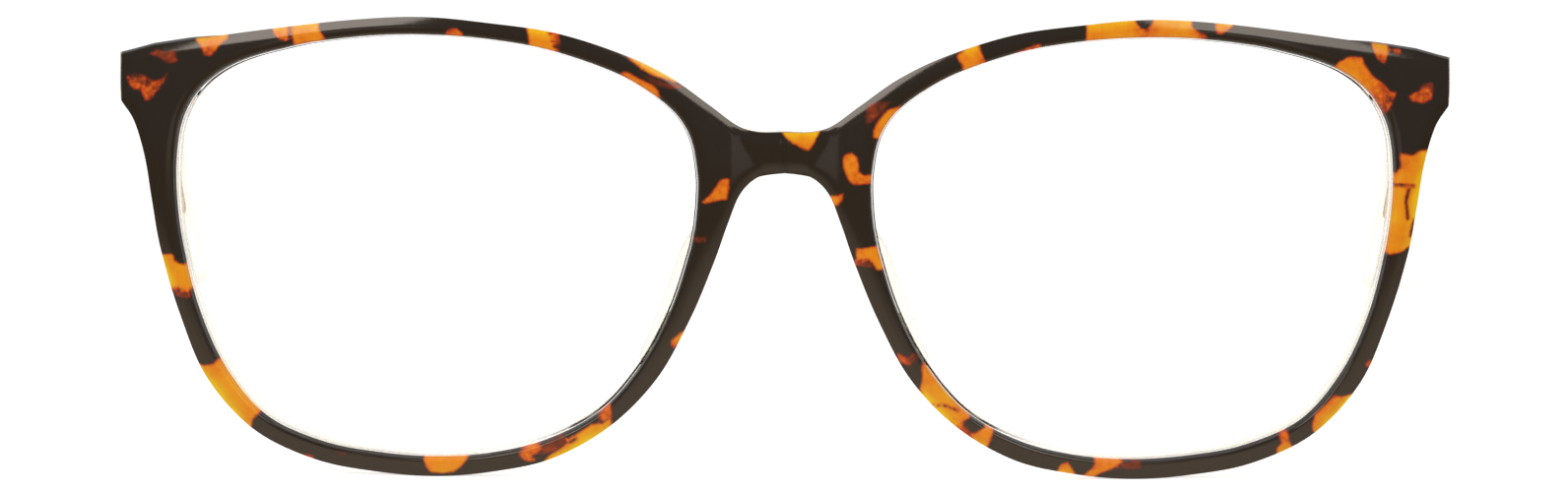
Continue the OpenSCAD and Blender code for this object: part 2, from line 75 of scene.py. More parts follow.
LENS_X = (BRIDGE_W + LENS_W) / 2
LENS_Z = RIM_BOTTOM + LENS_H / 2
LENS_TOP = RIM_BOTTOM + LENS_H
FRONT_X = BRIDGE_W / 2 + LENS_W + END_REACH
END_SEEN = LENS_TOP - END_DROP
FRONT_T = TORTOISE_T + CRYSTAL_T
SPHERE_R = 530 / BASE_CURVE
TURN_X = LENS_X - SPHERE_R * math.sin(math.radians(FACE_ANGLE))
NOSE_BLEND = 0.45 * BRIDGE_W
print("front:", round(2 * FRONT_X, 2), "mm wide, radius", SPHERE_R, "mm")

# %% [markdown]
# ## The surface of the front
# Acetate sheet is bent to the curve of the lenses after it is cut. So the front is built flat
# here too, as a slab whose X and Z are the drawing's and whose Y is the depth below the front
# face, and then bent. The bend lays each depth along the normal of a sphere for each eye.
# Towards the temples the front is thicker: a block with a flat back carries the hinge.


# %% Bend a flat slab onto the surface
def smooth(t):
    u = min(1.0, max(0.0, t))
    return u * u * (3 - 2 * u)


def eye(x):
    """Distance from the nose line, rounded over the nose, and its slope."""
    if abs(x) < NOSE_BLEND:
        return (x * x + NOSE_BLEND**2) / (2 * NOSE_BLEND), x / NOSE_BLEND
    return abs(x), math.copysign(1, x)


def surface(x, z):
    """Depth of the front face behind its foremost point, and the direction into the sheet."""
    across, slope = eye(x)
    across -= TURN_X
    up = z - LENS_Z
    fall = math.sqrt(SPHERE_R**2 - across**2 - up**2)
    return SPHERE_R - fall, Vector((-across * slope / fall, 1, -up / fall)).normalized()


def upright(p):
    """The outlines are drawn as they look along the temples, from 8 degrees above."""
    back = surface(p[0], p[1])[0] - surface(LENS_X, 0)[0]
    return Vector((p[0], (p[1] - back * math.sin(SEEN_AT)) / math.cos(SEEN_AT)))


END_Z = upright((FRONT_X, END_SEEN)).y
END_Y = surface(FRONT_X, END_Z)[0] + END_DEPTH
print("end piece: height", round(END_Z, 3), "back", round(END_Y, 3))

# %% [markdown]
# ## The outlines
# The lens opening starts at the outer side and runs over the top. The outer edge has as many
# points, so each has its partner across the rim. A Catmull-Rom curve runs through them.

# %% Outlines of the lens opening and of the outer edge
LENS = [
    (0.971, 0), (0.995, 0.22), (0.998, 0.4), (0.982, 0.56), (0.945, 0.675), (0.89, 0.762),
    (0.812, 0.835), (0.718, 0.888), (0.596, 0.93), (0.452, 0.967), (0.217, 0.997), (0, 0.998),
    (-0.211, 0.977), (-0.432, 0.928), (-0.668, 0.83), (-0.81, 0.735), (-0.903, 0.645),
    (-0.952, 0.565), (-0.977, 0.493), (-0.99, 0.42), (-1, 0.314), (-0.999, 0.224),
    (-0.994, 0.143), (-0.986, 0.07), (-0.965, -0.045), (-0.898, -0.299), (-0.785, -0.562),
    (-0.63, -0.78), (-0.425, -0.917), (-0.211, -0.982), (0, -1), (0.213, -0.982),
    (0.435, -0.93), (0.652, -0.806), (0.808, -0.577), (0.909, -0.302),
]
END = [(-0.28, -0.96), (-0.02, -0.5), (-0.015, 0), (-0.02, 0.47), (-0.655, 0.66)]
BROW = [
    (0.85, 0.049), (0.632, 0.03), (0.317, 0.008), (0.053, 0.001), (-0.2, 0.015),
    (-0.455, 0.038), (-0.708, 0.087), (-0.89, 0.141),
]
BRIDGE_UPPER = [(0.89, 0.324), (0.56, 0.084), (0.31, 0), (0, 0)]
BRIDGE_LOWER = [(0, 0), (0.29, -0.039), (0.51, -0.235), (0.66, -0.592)]
RIM = [RIM_NOSE * w for w in (1, 0.81, 0.77)]
RIM += [RIM_BOTTOM * w for w in (0.95, 1.03, 0.96, 1, 0.98, 0.97, 0.92)]
RIM += [RIM_SIDE * w for w in (0.9, 0.83, 0.98, 1.1, 1.4)]
ROWS = len(LENS)
AXIS_ROW, NOSE_ROW = 19, 24
CORNER_ROWS = (4, 6, 7)
STEPS = 14
COUNT = ROWS * STEPS

lens_rows = [Vector((LENS_X + a * LENS_W / 2, LENS_Z + b * LENS_H / 2)) for a, b in LENS]


def right_of(v):
    return Vector((v.y, -v.x)).normalized() if v.length > 1e-6 else Vector((0, 0))


def beside(k, width):
    return lens_rows[k] + width * right_of(lens_rows[(k + 1) % ROWS] - lens_rows[k - 1])


BRIDGE_TOP = LENS_TOP - BRIDGE_DROP
edge_rows = [beside(k, RIM[ROWS - NOSE_ROW + k]) for k in range(3)]
edge_rows += [Vector((FRONT_X + a * END_REACH, END_SEEN + b * END_H)) for a, b in END]
edge_rows += [Vector((LENS_X + a * LENS_W / 2, LENS_TOP + RIM_TOP - b * LENS_H)) for a, b in BROW]
edge_rows += [Vector((a, b)) * BRIDGE_W / 2 + Vector((0, BRIDGE_TOP)) for a, b in BRIDGE_UPPER]
edge_rows += [
    Vector((a, b)) * BRIDGE_W / 2 + Vector((0, BRIDGE_TOP - BRIDGE_H)) for a, b in BRIDGE_LOWER
]
edge_rows += [beside(k, RIM[k - NOSE_ROW]) for k in range(NOSE_ROW, ROWS)]


def curve(a, b, c, d, t):
    bow = 3 * (b - c) + d - a
    return b + t / 2 * (c - a + t * (2 * a - 5 * b + 4 * c - d + t * bow))


def mirrored(p):
    return Vector((-p.x, p.y))


def stations(rows, axis=None, corners=()):
    """Closely spaced points through the rows, straight between the axis row and the next."""
    points = []
    for k in range(ROWS):
        before, here, after, beyond = (rows[(k + j) % ROWS] for j in (-1, 0, 1, 2))
        if axis is not None and k == axis - 1:
            beyond = mirrored(here)
        if axis is not None and k == axis + 1:
            before = mirrored(after)
        if k in corners:
            before = 2 * here - after
        if k + 1 in corners:
            beyond = 2 * after - here
        for i in range(STEPS):
            t = i / STEPS
            flat = here.lerp(after, t) if k == axis else curve(before, here, after, beyond, t)
            points.append(upright(flat))
    return points


lens_edge = stations(lens_rows)
front_edge = stations(edge_rows, AXIS_ROW, CORNER_ROWS)
lens_out = [right_of(lens_edge[(i + 1) % COUNT] - lens_edge[i - 1]) for i in range(COUNT)]
on_axis = range(AXIS_ROW * STEPS, (AXIS_ROW + 1) * STEPS + 1)
print("stations:", COUNT, "top of the rim", round(max(p.y for p in front_edge), 2), "mm")


# %% [markdown]
# ## The place of the hinge
# Every piece is shaped with the foremost point of the front at Y = 0. The axis of a hinge lies a
# little behind the end piece, and the frame says where the screw in it stands. The step from
# one to the other puts the whole pair of glasses in the frame.

# %% Hinge axis
AXIS_BACK, AXIS_INSET = 2.3, 1.7
HINGE_Y = END_Y + AXIS_BACK
SHIFT_Y = sum(corner.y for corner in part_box("hinge_screw_left")) / 2 / MM - HINGE_Y
print("the glasses move by", round(SHIFT_Y, 3), "mm")


# %% [markdown]
# ## Distance from the edges
# Tumbling in wooden chips polishes acetate and takes more from its edges than from its middle,
# so a thin rim ends up slightly crowned. Both the crown and the ramp of the hinge block need
# the distance from a point to an outline, which a k-d tree of its points gives quickly.


# %% Distance from a point to an outline
def tree_of(points):
    tree = KDTree(len(points))
    for i, p in enumerate(points):
        tree.insert((p.x, p.y, 0), i)
    tree.balance()
    return tree


def to_segment(p, a, b):
    ab = b - a
    t = min(1, max(0, (p - a).dot(ab) / max(ab.length_squared, 1e-12)))
    return (p - a - t * ab).length


def distance(tree, points, x, z):
    p = Vector((abs(x), z))
    i = tree.find((p.x, p.y, 0))[1]
    here, before, after = points[i], points[i - 1], points[(i + 1) % len(points)]
    return min(to_segment(p, here, after), to_segment(p, before, here))


lens_tree = tree_of(lens_edge)
rim_line = [p for i, p in enumerate(front_edge) if i not in on_axis[1:-1]]
rim_tree = tree_of(rim_line)
print("points on the outer edge:", len(rim_line))
BLOCK_X, BLOCK_LOW = 57.0, 33.0
BLOCK_RAMP = Vector((5.5, 4.0, 2.2))
CROWN, CROWN_W, CROWN_DEPTH = 0.16, 1.3, 1.0
BACK_SHY = 0.01
FLANK_X, CARVE_TOP, FLANK_TILT, BRIDGE_TILT = 5.6, 37.3, 0.075, 0.055
DRAFT = 0.16


def block_share(x, z):
    """1 on the flat-backed block that carries a hinge, 0 on the rims."""
    share = smooth((abs(x) - BLOCK_X) / BLOCK_RAMP.x) * smooth((z - BLOCK_LOW) / BLOCK_RAMP.y)
    return share and share * smooth(distance(lens_tree, lens_edge, x, z) / BLOCK_RAMP.z)


def carve(x, z):
    """The bridge is filed down between two flanks, deeper towards its lower edge."""
    return max(0, min(FLANK_TILT * (FLANK_X - abs(x)), BRIDGE_TILT * (CARVE_TOP - z)))


def bent(p):
    """Moves a point of the flat slab, whose Y is its depth, onto the surface of the front."""
    face_y, into = surface(p.x, p.z)
    near = distance(rim_tree, rim_line, p.x, p.z)
    near = min(near, distance(lens_tree, lens_edge, p.x, p.z))
    crown = CROWN * (1 - min(1, near / CROWN_W)) ** 2
    depth = p.y + (crown + carve(p.x, p.z)) * max(0, 1 - p.y / CROWN_DEPTH)
    depth -= crown * max(0, 1 - (FRONT_T - p.y) / CROWN_DEPTH)
    foot = Vector((p.x, face_y, p.z))
    k = block_share(p.x, p.z)
    if not k:
        return foot + depth * into
    full = END_Y - BACK_SHY - face_y
    if depth > FRONT_T - EDGE_R:
        straight = full - FRONT_T + depth
    elif depth > TORTOISE_T:
        share = (depth - TORTOISE_T) / (CRYSTAL_T - EDGE_R)
        straight = TORTOISE_T + share * (full - EDGE_R - TORTOISE_T)
    else:
        straight = depth
    drop = DRAFT * max(0, straight - TORTOISE_T) * smooth((p.z - END_Z) / 3)
    return (foot + depth * into).lerp(foot + Vector((0, straight, -drop)), k)


# %% [markdown]
# ## Short ways to sort what bmesh made
# An extrusion returns its points, edges and faces in one list, and most steps need one kind.
# Rings start as a circle whose points are numbered, so that each can be set on its outline.


# %% Helpers for bmesh
def points_in(made):
    return [v for v in made if isinstance(v, bmesh.types.BMVert)]


def edges_in(made):
    return [e for e in made if isinstance(e, bmesh.types.BMEdge)]


def numbered_ring(count, *names):
    """A circle of points and its layers. The first layer holds each point's number."""
    bm = bmesh.new()
    layers = [bm.verts.layers.int.new(name) for name in names]
    bmesh.ops.create_circle(bm, segments=count, radius=1)
    bm.verts.ensure_lookup_table()
    for i, v in enumerate(bm.verts):
        v[layers[0]] = i
    return bm, layers


# %% [markdown]
# ## Finishing a piece
# Every piece ends the same way: its faces are turned outwards, it is scaled to metres and moved
# to its place, its sharp edges are marked and the rest is shaded smooth. Then the frame's node
# that it stands for is hidden, and the piece gets its finish and rides on its body.


# %% From bmesh to a piece
def finish(bm, name, body, material, node, sharp=40):
    bmesh.ops.recalc_face_normals(bm, faces=bm.faces)
    bmesh.ops.scale(bm, verts=bm.verts, vec=(MM, MM, MM))
    bmesh.ops.translate(bm, verts=bm.verts, vec=(0, SHIFT_Y * MM, 0))
    mesh = bpy.data.meshes.new(name)
    bm.to_mesh(mesh)
    bm.free()
    mesh.shade_smooth()
    mesh.set_sharp_from_angle(angle=math.radians(sharp))
    piece = bpy.data.objects.new(name, mesh)
    bpy.context.scene.collection.objects.link(piece)
    mesh.materials.append(material)
    weighted = piece.modifiers.new("Weighted normals", "WEIGHTED_NORMAL")
    weighted.keep_sharp = True
    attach(piece, body)
    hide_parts(node)
    triangles = sum(len(f.vertices) - 2 for f in mesh.polygons)
    print(f"{name}: {triangles} triangles")
    return piece


def mirror_to_right(bm):
    """Turns a left piece into the right one."""
    bmesh.ops.scale(bm, verts=bm.verts, vec=(-1, 1, 1))
    return bm


# %% [markdown]
# ## Nodes of a material
# A material here is a chain of nodes that one function writes down from left to right.


# %% Short ways to write nodes
class Tree:
    """Adds nodes to a material and links them."""

    def __init__(self, name):
        self.material = bpy.data.materials.new(name)
        self.material.use_nodes = True
        self.nodes = self.material.node_tree.nodes
        self.links = self.material.node_tree.links
        self.nodes.clear()
        self.coordinates = self.add("TexCoord").outputs["Object"]

    def add(self, kind, inputs=(), **settings):
        node = self.nodes.new("ShaderNode" + kind)
        for key, value in settings.items():
            setattr(node, key, value)
        for key, value in dict(inputs).items():
            if isinstance(value, bpy.types.NodeSocket):
                self.links.new(value, node.inputs[key])
            else:
                node.inputs[key].default_value = value
        return node

    def noise(self, scale, detail, vector=None):
        vector = self.coordinates if vector is None else vector
        inputs = {"Vector": vector, "Scale": scale, "Detail": detail}
        return self.add("TexNoise", inputs).outputs["Fac"]

    def math(self, operation, *values, clamp=False):
        inputs = dict(enumerate(values))
        return self.add("Math", inputs, operation=operation, use_clamp=clamp).outputs[0]

    def mix(self, share, first, second, blend="MIX"):
        node = self.add("Mix", data_type="RGBA", blend_type=blend)
        for key, value in (("Factor", share), ("A", first), ("B", second)):
            kind = "VALUE" if key == "Factor" else "RGBA"
            socket = [s for s in node.inputs if s.name == key and s.type == kind][0]
            if isinstance(value, bpy.types.NodeSocket):
                self.links.new(value, socket)
            else:
                socket.default_value = value
        return [s for s in node.outputs if s.type == "RGBA"][0]

    def ramp(self, value, *stops):
        node = self.add("ValToRGB", {"Fac": value})
        elements = node.color_ramp.elements
        while len(elements) < len(stops):
            elements.new(0.5)
        for element, (position, colour) in zip(elements, stops):
            element.position = position
            element.color = (*colour, 1)
        return node.outputs["Color"]

    def map(self, value, low, high, to_low=0.0, to_high=1.0):
        inputs = {"Value": value, "From Min": low, "From Max": high}
        inputs.update({"To Min": to_low, "To Max": to_high})
        return self.add("MapRange", inputs).outputs["Result"]

    def finish(self, shader):
        output = self.add("OutputMaterial")
        self.links.new(shader, output.inputs["Surface"])
        return self.material


def see_through(tree, shader, share, tint):
    """Bends only a share of the light: what lies behind clear plastic shows mostly in its place."""
    through = tree.add("BsdfTransparent", {"Color": tint})
    return tree.add("MixShader", {"Fac": share, 1: through.outputs[0], 2: shader}).outputs[0]


def clears_shadows(tree, shader):
    """Lets lamps through clear plastic, which a path tracer would otherwise leave black."""
    path = tree.add("LightPath")
    through = tree.add("BsdfTransparent", {"Color": (0.93, 0.92, 0.88, 1)})
    inputs = {"Fac": path.outputs["Is Shadow Ray"], 1: shader, 2: through.outputs[0]}
    return tree.add("MixShader", inputs).outputs[0]


# %% [markdown]
# ## Tortoiseshell acetate
# The sheet is cut from a block in which chips of amber acetate are pressed into dark brown. A
# patch goes right through the sheet. Its middle is amber, its border a thin band of orange and
# red-brown. The mesh carries attributes: the distance to the nearest patch, the patch's
# warmth, and how close the point is to the outer edge, where the amber is painted lighter as a
# stand-in for the light that comes through the thin acetate there. Noise frays them. A fourth
# marks the walls of the lens openings, which the tumbling doesn't reach.

# %% Tortoiseshell material
DARK = (0.020, 0.0135, 0.008)
ATTRIBUTES = ("reach", "warmth", "rim", "matt")
# The attribute rim and the last of these numbers lighten the amber near the outer edge: painted
# light, standing in for light let through the thin acetate.
FRAY, FINE_FRAY, CLOUDY, MOTTLED, PAINTED_EDGE_GLOW = 0.35, 0.18, 0.35, 1.7, 0.3
AMBER = (
    (0.0, (0.07, 0.012, 0.005)),
    (0.12, (0.20, 0.026, 0.005)),
    (0.3, (0.55, 0.075, 0.004)),
    (0.5, (0.74, 0.20, 0.002)),
    (0.75, (0.78, 0.32, 0.002)),
    (1.0, (0.86, 0.55, 0.005)),
)
BORDER = (
    (0.0, (1, 1, 1)),
    (0.35, (0.92, 0.72, 0.6)),
    (0.6, (0.6, 0.26, 0.2)),
    (0.8, (0.16, 0.06, 0.05)),
    (1.0, (0.0, 0.0, 0.0)),
)


def frayed_reach(t, reach):
    """Noise in two sizes moves the borders of the patches."""
    frayed = t.math("MULTIPLY_ADD", t.math("SUBTRACT", t.noise(700, 2), 0.5), FRAY, reach)
    return t.math("MULTIPLY_ADD", t.math("SUBTRACT", t.noise(2600, 3), 0.5), FINE_FRAY, frayed)


def amber_colour(t, warmth, rim):
    """Clouds in the amber, flecks where it is dull but not dark, and painted light near the outer
    edge.
    """
    cloud = t.math("SUBTRACT", t.noise(320, 3), 0.5)
    light = t.math("MULTIPLY_ADD", cloud, CLOUDY, warmth)
    dull = t.math("SUBTRACT", 0.75, warmth, clamp=True)
    dull = t.math("MINIMUM", dull, t.math("MULTIPLY", warmth, 4.0))
    flecks = t.math("MULTIPLY", t.math("SUBTRACT", t.noise(1500, 2), 0.47), dull)
    light = t.math("MULTIPLY_ADD", flecks, MOTTLED, light)
    return t.ramp(t.math("MULTIPLY_ADD", rim, PAINTED_EDGE_GLOW, light), *AMBER)


def tortoise_material():
    t = Tree("tortoiseshell acetate")
    reach, warmth, rim, matt = (
        t.add("Attribute", attribute_name=name).outputs["Fac"] for name in ATTRIBUTES
    )
    frayed = frayed_reach(t, reach)
    border = t.ramp(t.map(frayed, -0.30, 0.16), *BORDER)
    tinted = t.mix(1.0, amber_colour(t, warmth, rim), border, "MULTIPLY")
    scratches = t.noise(5200, 2)
    rough = t.map(scratches, 0.3, 0.7, 0.07, 0.14)
    shine = t.map(frayed, -0.20, 0.10, 0.25, 0.5)
    bump = t.add("Bump", {"Height": scratches, "Strength": 0.04, "Distance": 0.00002})
    inputs = {
        "Base Color": t.mix(1.0, tinted, (*DARK, 1), "ADD"),
        "Roughness": t.math("MULTIPLY_ADD", matt, 0.25, rough),
        "Specular IOR Level": t.math("MULTIPLY", shine, t.map(matt, 0, 1, 1.0, 0.2)),
        "IOR": 1.49,
        "Normal": bump.outputs[0],
    }
    return t.finish(t.add("BsdfPrincipled", inputs).outputs[0])


tortoise = tortoise_material()
print("material:", tortoise.name)

# %% [markdown]
# ## Clear acetate
# The back layer is clear with a faint cream cast. Its walls show the white around it, bent. What
# lies behind a thin clear sheet shows nearly in its place, so only a share of the light is bent,
# the least in the flat temples.

# %% Clear acetate material
THROUGH_TINT = (0.985, 0.975, 0.95, 1)


def crystal_material(name, bent_share):
    t = Tree(name)
    haze = t.noise(900, 3)
    rough = t.map(haze, 0.3, 0.7, 0.015, 0.05)
    bump = t.add("Bump", {"Height": haze, "Strength": 0.05, "Distance": 0.00004})
    inputs = {"Base Color": (0.94, 0.90, 0.82, 1), "Roughness": rough, "IOR": 1.49}
    inputs.update({"Transmission Weight": 1.0, "Normal": bump.outputs[0]})
    shader = t.add("BsdfPrincipled", inputs).outputs[0]
    return t.finish(clears_shadows(t, see_through(t, shader, bent_share, THROUGH_TINT)))


crystal = crystal_material("clear acetate", 0.4)
crystal_sheet = crystal_material("clear acetate of the temples", 0.08)
print("materials:", crystal.name, "and", crystal_sheet.name)


# %% [markdown]
# ## Lens plastic
# A demonstration lens is thin, clear and almost invisible from the front. Its coating, which
# takes most of its reflections away, isn't drawn: the lens is plain clear plastic.


# %% Lens material
def lens_material():
    t = Tree("clear lens")
    rough = t.map(t.noise(60, 2), 0.3, 0.7, 0.0, 0.012)
    inputs = {"Base Color": (0.99, 1.0, 0.995, 1), "Roughness": rough, "IOR": 1.5}
    inputs["Transmission Weight"] = 1.0
    shader = t.add("BsdfPrincipled", inputs)
    return t.finish(clears_shadows(t, shader.outputs[0]))


clear = lens_material()
print("material:", clear.name)


# %% [markdown]
# ## Metals
# Hinges are milled from nickel silver and tumbled bright. The screws are steel, turned, and the
# core wires are drawn, which leaves fine lines along them.


# %% Metal materials
def metal_material(name, colour, rough_low, rough_high, stretch):
    t = Tree(name)
    mapped = t.add("Mapping", {"Vector": t.coordinates, "Scale": stretch}).outputs[0]
    lines = t.noise(1, 3, mapped)
    rough = t.map(lines, 0.3, 0.7, rough_low, rough_high)
    tint = t.mix(lines, (*[c * 0.8 for c in colour], 1), (*colour, 1))
    bump = t.add("Bump", {"Height": lines, "Strength": 0.12, "Distance": 0.00002})
    inputs = {"Base Color": tint, "Metallic": 1.0, "Roughness": rough, "Normal": bump.outputs[0]}
    return t.finish(t.add("BsdfPrincipled", inputs).outputs[0])


nickel = metal_material("nickel silver", (0.78, 0.74, 0.66), 0.18, 0.32, (2500, 2500, 9000))
steel = metal_material("screw steel", (0.72, 0.72, 0.74), 0.15, 0.3, (1500, 1500, 9000))
drawn = metal_material("drawn wire", (0.70, 0.67, 0.60), 0.22, 0.38, (9000, 300, 9000))
print("materials:", nickel.name, steel.name, drawn.name)

# %% [markdown]
# ## Where the amber lies
# No two frames have the same patches, so these are drawn over the photograph. Each is
# an outline of a few corners: the photograph's column and row, and the warmth of the colour
# there, from 0, a dull red-brown, through 0.5, orange, to 1, yellow. An outline that reaches
# the edge of a rim runs past it. Threads are dark lines through the amber.

# %% Patches of the front
PHOTO_W, PHOTO_H = 1592, 500
PIXELS_PER_MM = 9.7
MIDDLE_COLUMN, TABLE_ROW = 796.33, 486.0
ROLL = math.radians(0.24)

LEFT_PATCHES = [
    [(197, 28, 0.55), (233, 24, 0.6), (230, 40, 0.55), (222, 47, 0.5), (214, 57, 0.2),
     (208, 57, 0.2), (203, 46, 0.5), (199, 41, 0.5)],
    [(152, 55, 0.03), (160, 51, 0.06), (172, 53, 0.07), (178, 50, 0.05), (180, 62, 0.07),
     (172, 64, 0.07), (160, 58, 0.04)],
    # The warmer corners of this patch on the left end piece are a painted glint: they stand in for
    # the ribs of the hinge anchor shining through the amber.
    [(128, 78, 0.12), (136, 73, 0.05), (146, 77, 0.12), (152, 80, 0.2), (158, 82, 0.2),
     (166, 78, 0.05), (170, 74, 0.0), (166, 84, 0.1), (161, 91, 0.35), (157, 93, 0.2),
     (154, 99, 0.2), (148, 103, 0.15), (144, 97, 0.3), (142, 90, 0.3), (137, 91, 0.4),
     (131, 86, 0.3)],
    [(274, 20, 0.55), (292, 18, 0.6), (293, 40, 0.35), (290, 42, 0.3), (284, 40, 0.5),
     (279, 36, 0.5)],
    [(296, 16, 0.6), (324, 12, 0.65), (324, 30, 0.7), (330, 40, 0.4), (322, 43, 0.6),
     (310, 45, 0.5), (298, 46, 0.4), (296, 34, 0.55)],
    [(452, 42, 0.3), (453, 32, 0.2), (458, 28, 0.35), (464, 29, 0.4), (469, 34, 0.35),
     (470, 42, 0.3)],
    [(534, 20, 0.6), (557, 22, 0.75), (557, 34, 0.7), (560, 40, 0.5), (566, 56, 0.4),
     (548, 56, 0.75), (537, 52, 0.6), (537, 38, 0.55), (535, 30, 0.5)],
    [(558, 26, 0.08), (567, 30, 0.0), (569, 44, 0.0), (567, 54, 0.12), (561, 44, 0.15)],
    [(632, 48, 0.1), (645, 52, 0.5), (650, 52, 0.8), (670, 60, 0.9), (685, 72, 0.9),
     (696, 84, 0.6), (684, 84, 0.65), (672, 80, 0.65), (660, 76, 0.6), (650, 70, 0.6),
     (646, 66, 0.5), (638, 60, 0.05)],
    [(632, 72, 0.1), (640, 75, 0.35), (650, 80, 0.45), (660, 86, 0.5), (668, 92, 0.45),
     (671, 99, 0.3), (664, 102, 0.4), (652, 94, 0.5), (638, 86, 0.5), (628, 79, 0.3)],
    [(648, 73, 0.0), (662, 80, 0.0), (672, 84, 0.05), (692, 88, 0.1), (684, 91, 0.0),
     (668, 88, 0.0), (660, 84, 0.0)],
    [(791, 130, 0.75), (834, 130, 0.75), (830, 139, 0.75), (826, 147, 0.6), (822, 153, 0.4),
     (816, 152, 0.5), (806, 146, 0.6), (798, 140, 0.6)],
    [(732, 182, 0.4), (741, 181, 0.35), (740, 190, 0.5), (738, 203, 0.5), (728, 204, 0.5),
     (718, 207, 0.45), (713, 206, 0.3), (722, 196, 0.45), (727, 190, 0.45)],
    [(705, 241, 0.1), (716, 242, 0.12), (716, 246, 0.12), (705, 247, 0.1)],
    [(700, 334, 0.5), (692, 338, 0.5), (686, 342, 0.45), (680, 349, 0.3), (684, 354, 0.2),
     (692, 349, 0.4), (698, 346, 0.4)],
    [(577, 446, 0.6), (590, 438, 0.7), (600, 432, 0.65), (612, 430, 0.6), (620, 422, 0.4),
     (621, 430, 0.4), (620, 440, 0.5), (606, 450, 0.8), (592, 457, 0.9), (578, 464, 0.8),
     (566, 468, 0.6), (550, 474, 0.5), (556, 463, 0.5), (566, 458, 0.5), (574, 452, 0.5)],
    [(607, 424, 0.3), (614, 414, 0.35), (620, 410, 0.4), (621, 424, 0.35), (612, 430, 0.4)],
    [(526, 462, 0.35), (534, 454, 0.45), (542, 453, 0.5), (550, 453, 0.35), (548, 460, 0.3),
     (540, 464, 0.4), (545, 468, 0.25), (536, 470, 0.2), (530, 467, 0.3)],
    [(546, 456, 0.05), (560, 447, 0.0), (572, 442, 0.02), (577, 447, 0.05), (574, 453, 0.0),
     (560, 459, 0.05), (550, 462, 0.05)],
    [(426, 460, 0.5), (480, 460, 0.5), (472, 469, 0.6), (466, 475, 0.6), (461, 480, 0.5),
     (450, 481, 0.65), (436, 480, 0.55), (432, 474, 0.55)],
    [(308, 462, 0.02), (318, 463, 0.02), (318, 467, 0.02), (308, 466, 0.02)],
    [(340, 459, 0.02), (350, 460, 0.02), (350, 463, 0.02), (340, 463, 0.02)],
    [(156, 259, 0.45), (175, 258, 0.4), (177, 264, 0.45), (182, 268, 0.65), (194, 270, 0.9),
     (194, 294, 0.85), (190, 298, 0.4), (183, 294, 0.55), (170, 293, 0.65), (164, 280, 0.8),
     (158, 268, 0.7)],
    [(174, 294, 0.0), (192, 296, 0.08), (193, 303, 0.1), (186, 302, 0.08), (178, 300, 0.0)],
    [(196, 368, 0.3), (205, 371, 0.45), (216, 370, 0.4), (222, 362, 0.45), (240, 380, 0.85),
     (262, 406, 0.8), (264, 418, 0.6), (256, 426, 0.5), (253, 437, 0.45), (232, 425, 0.95),
     (212, 402, 1.0), (198, 376, 0.8)],
]
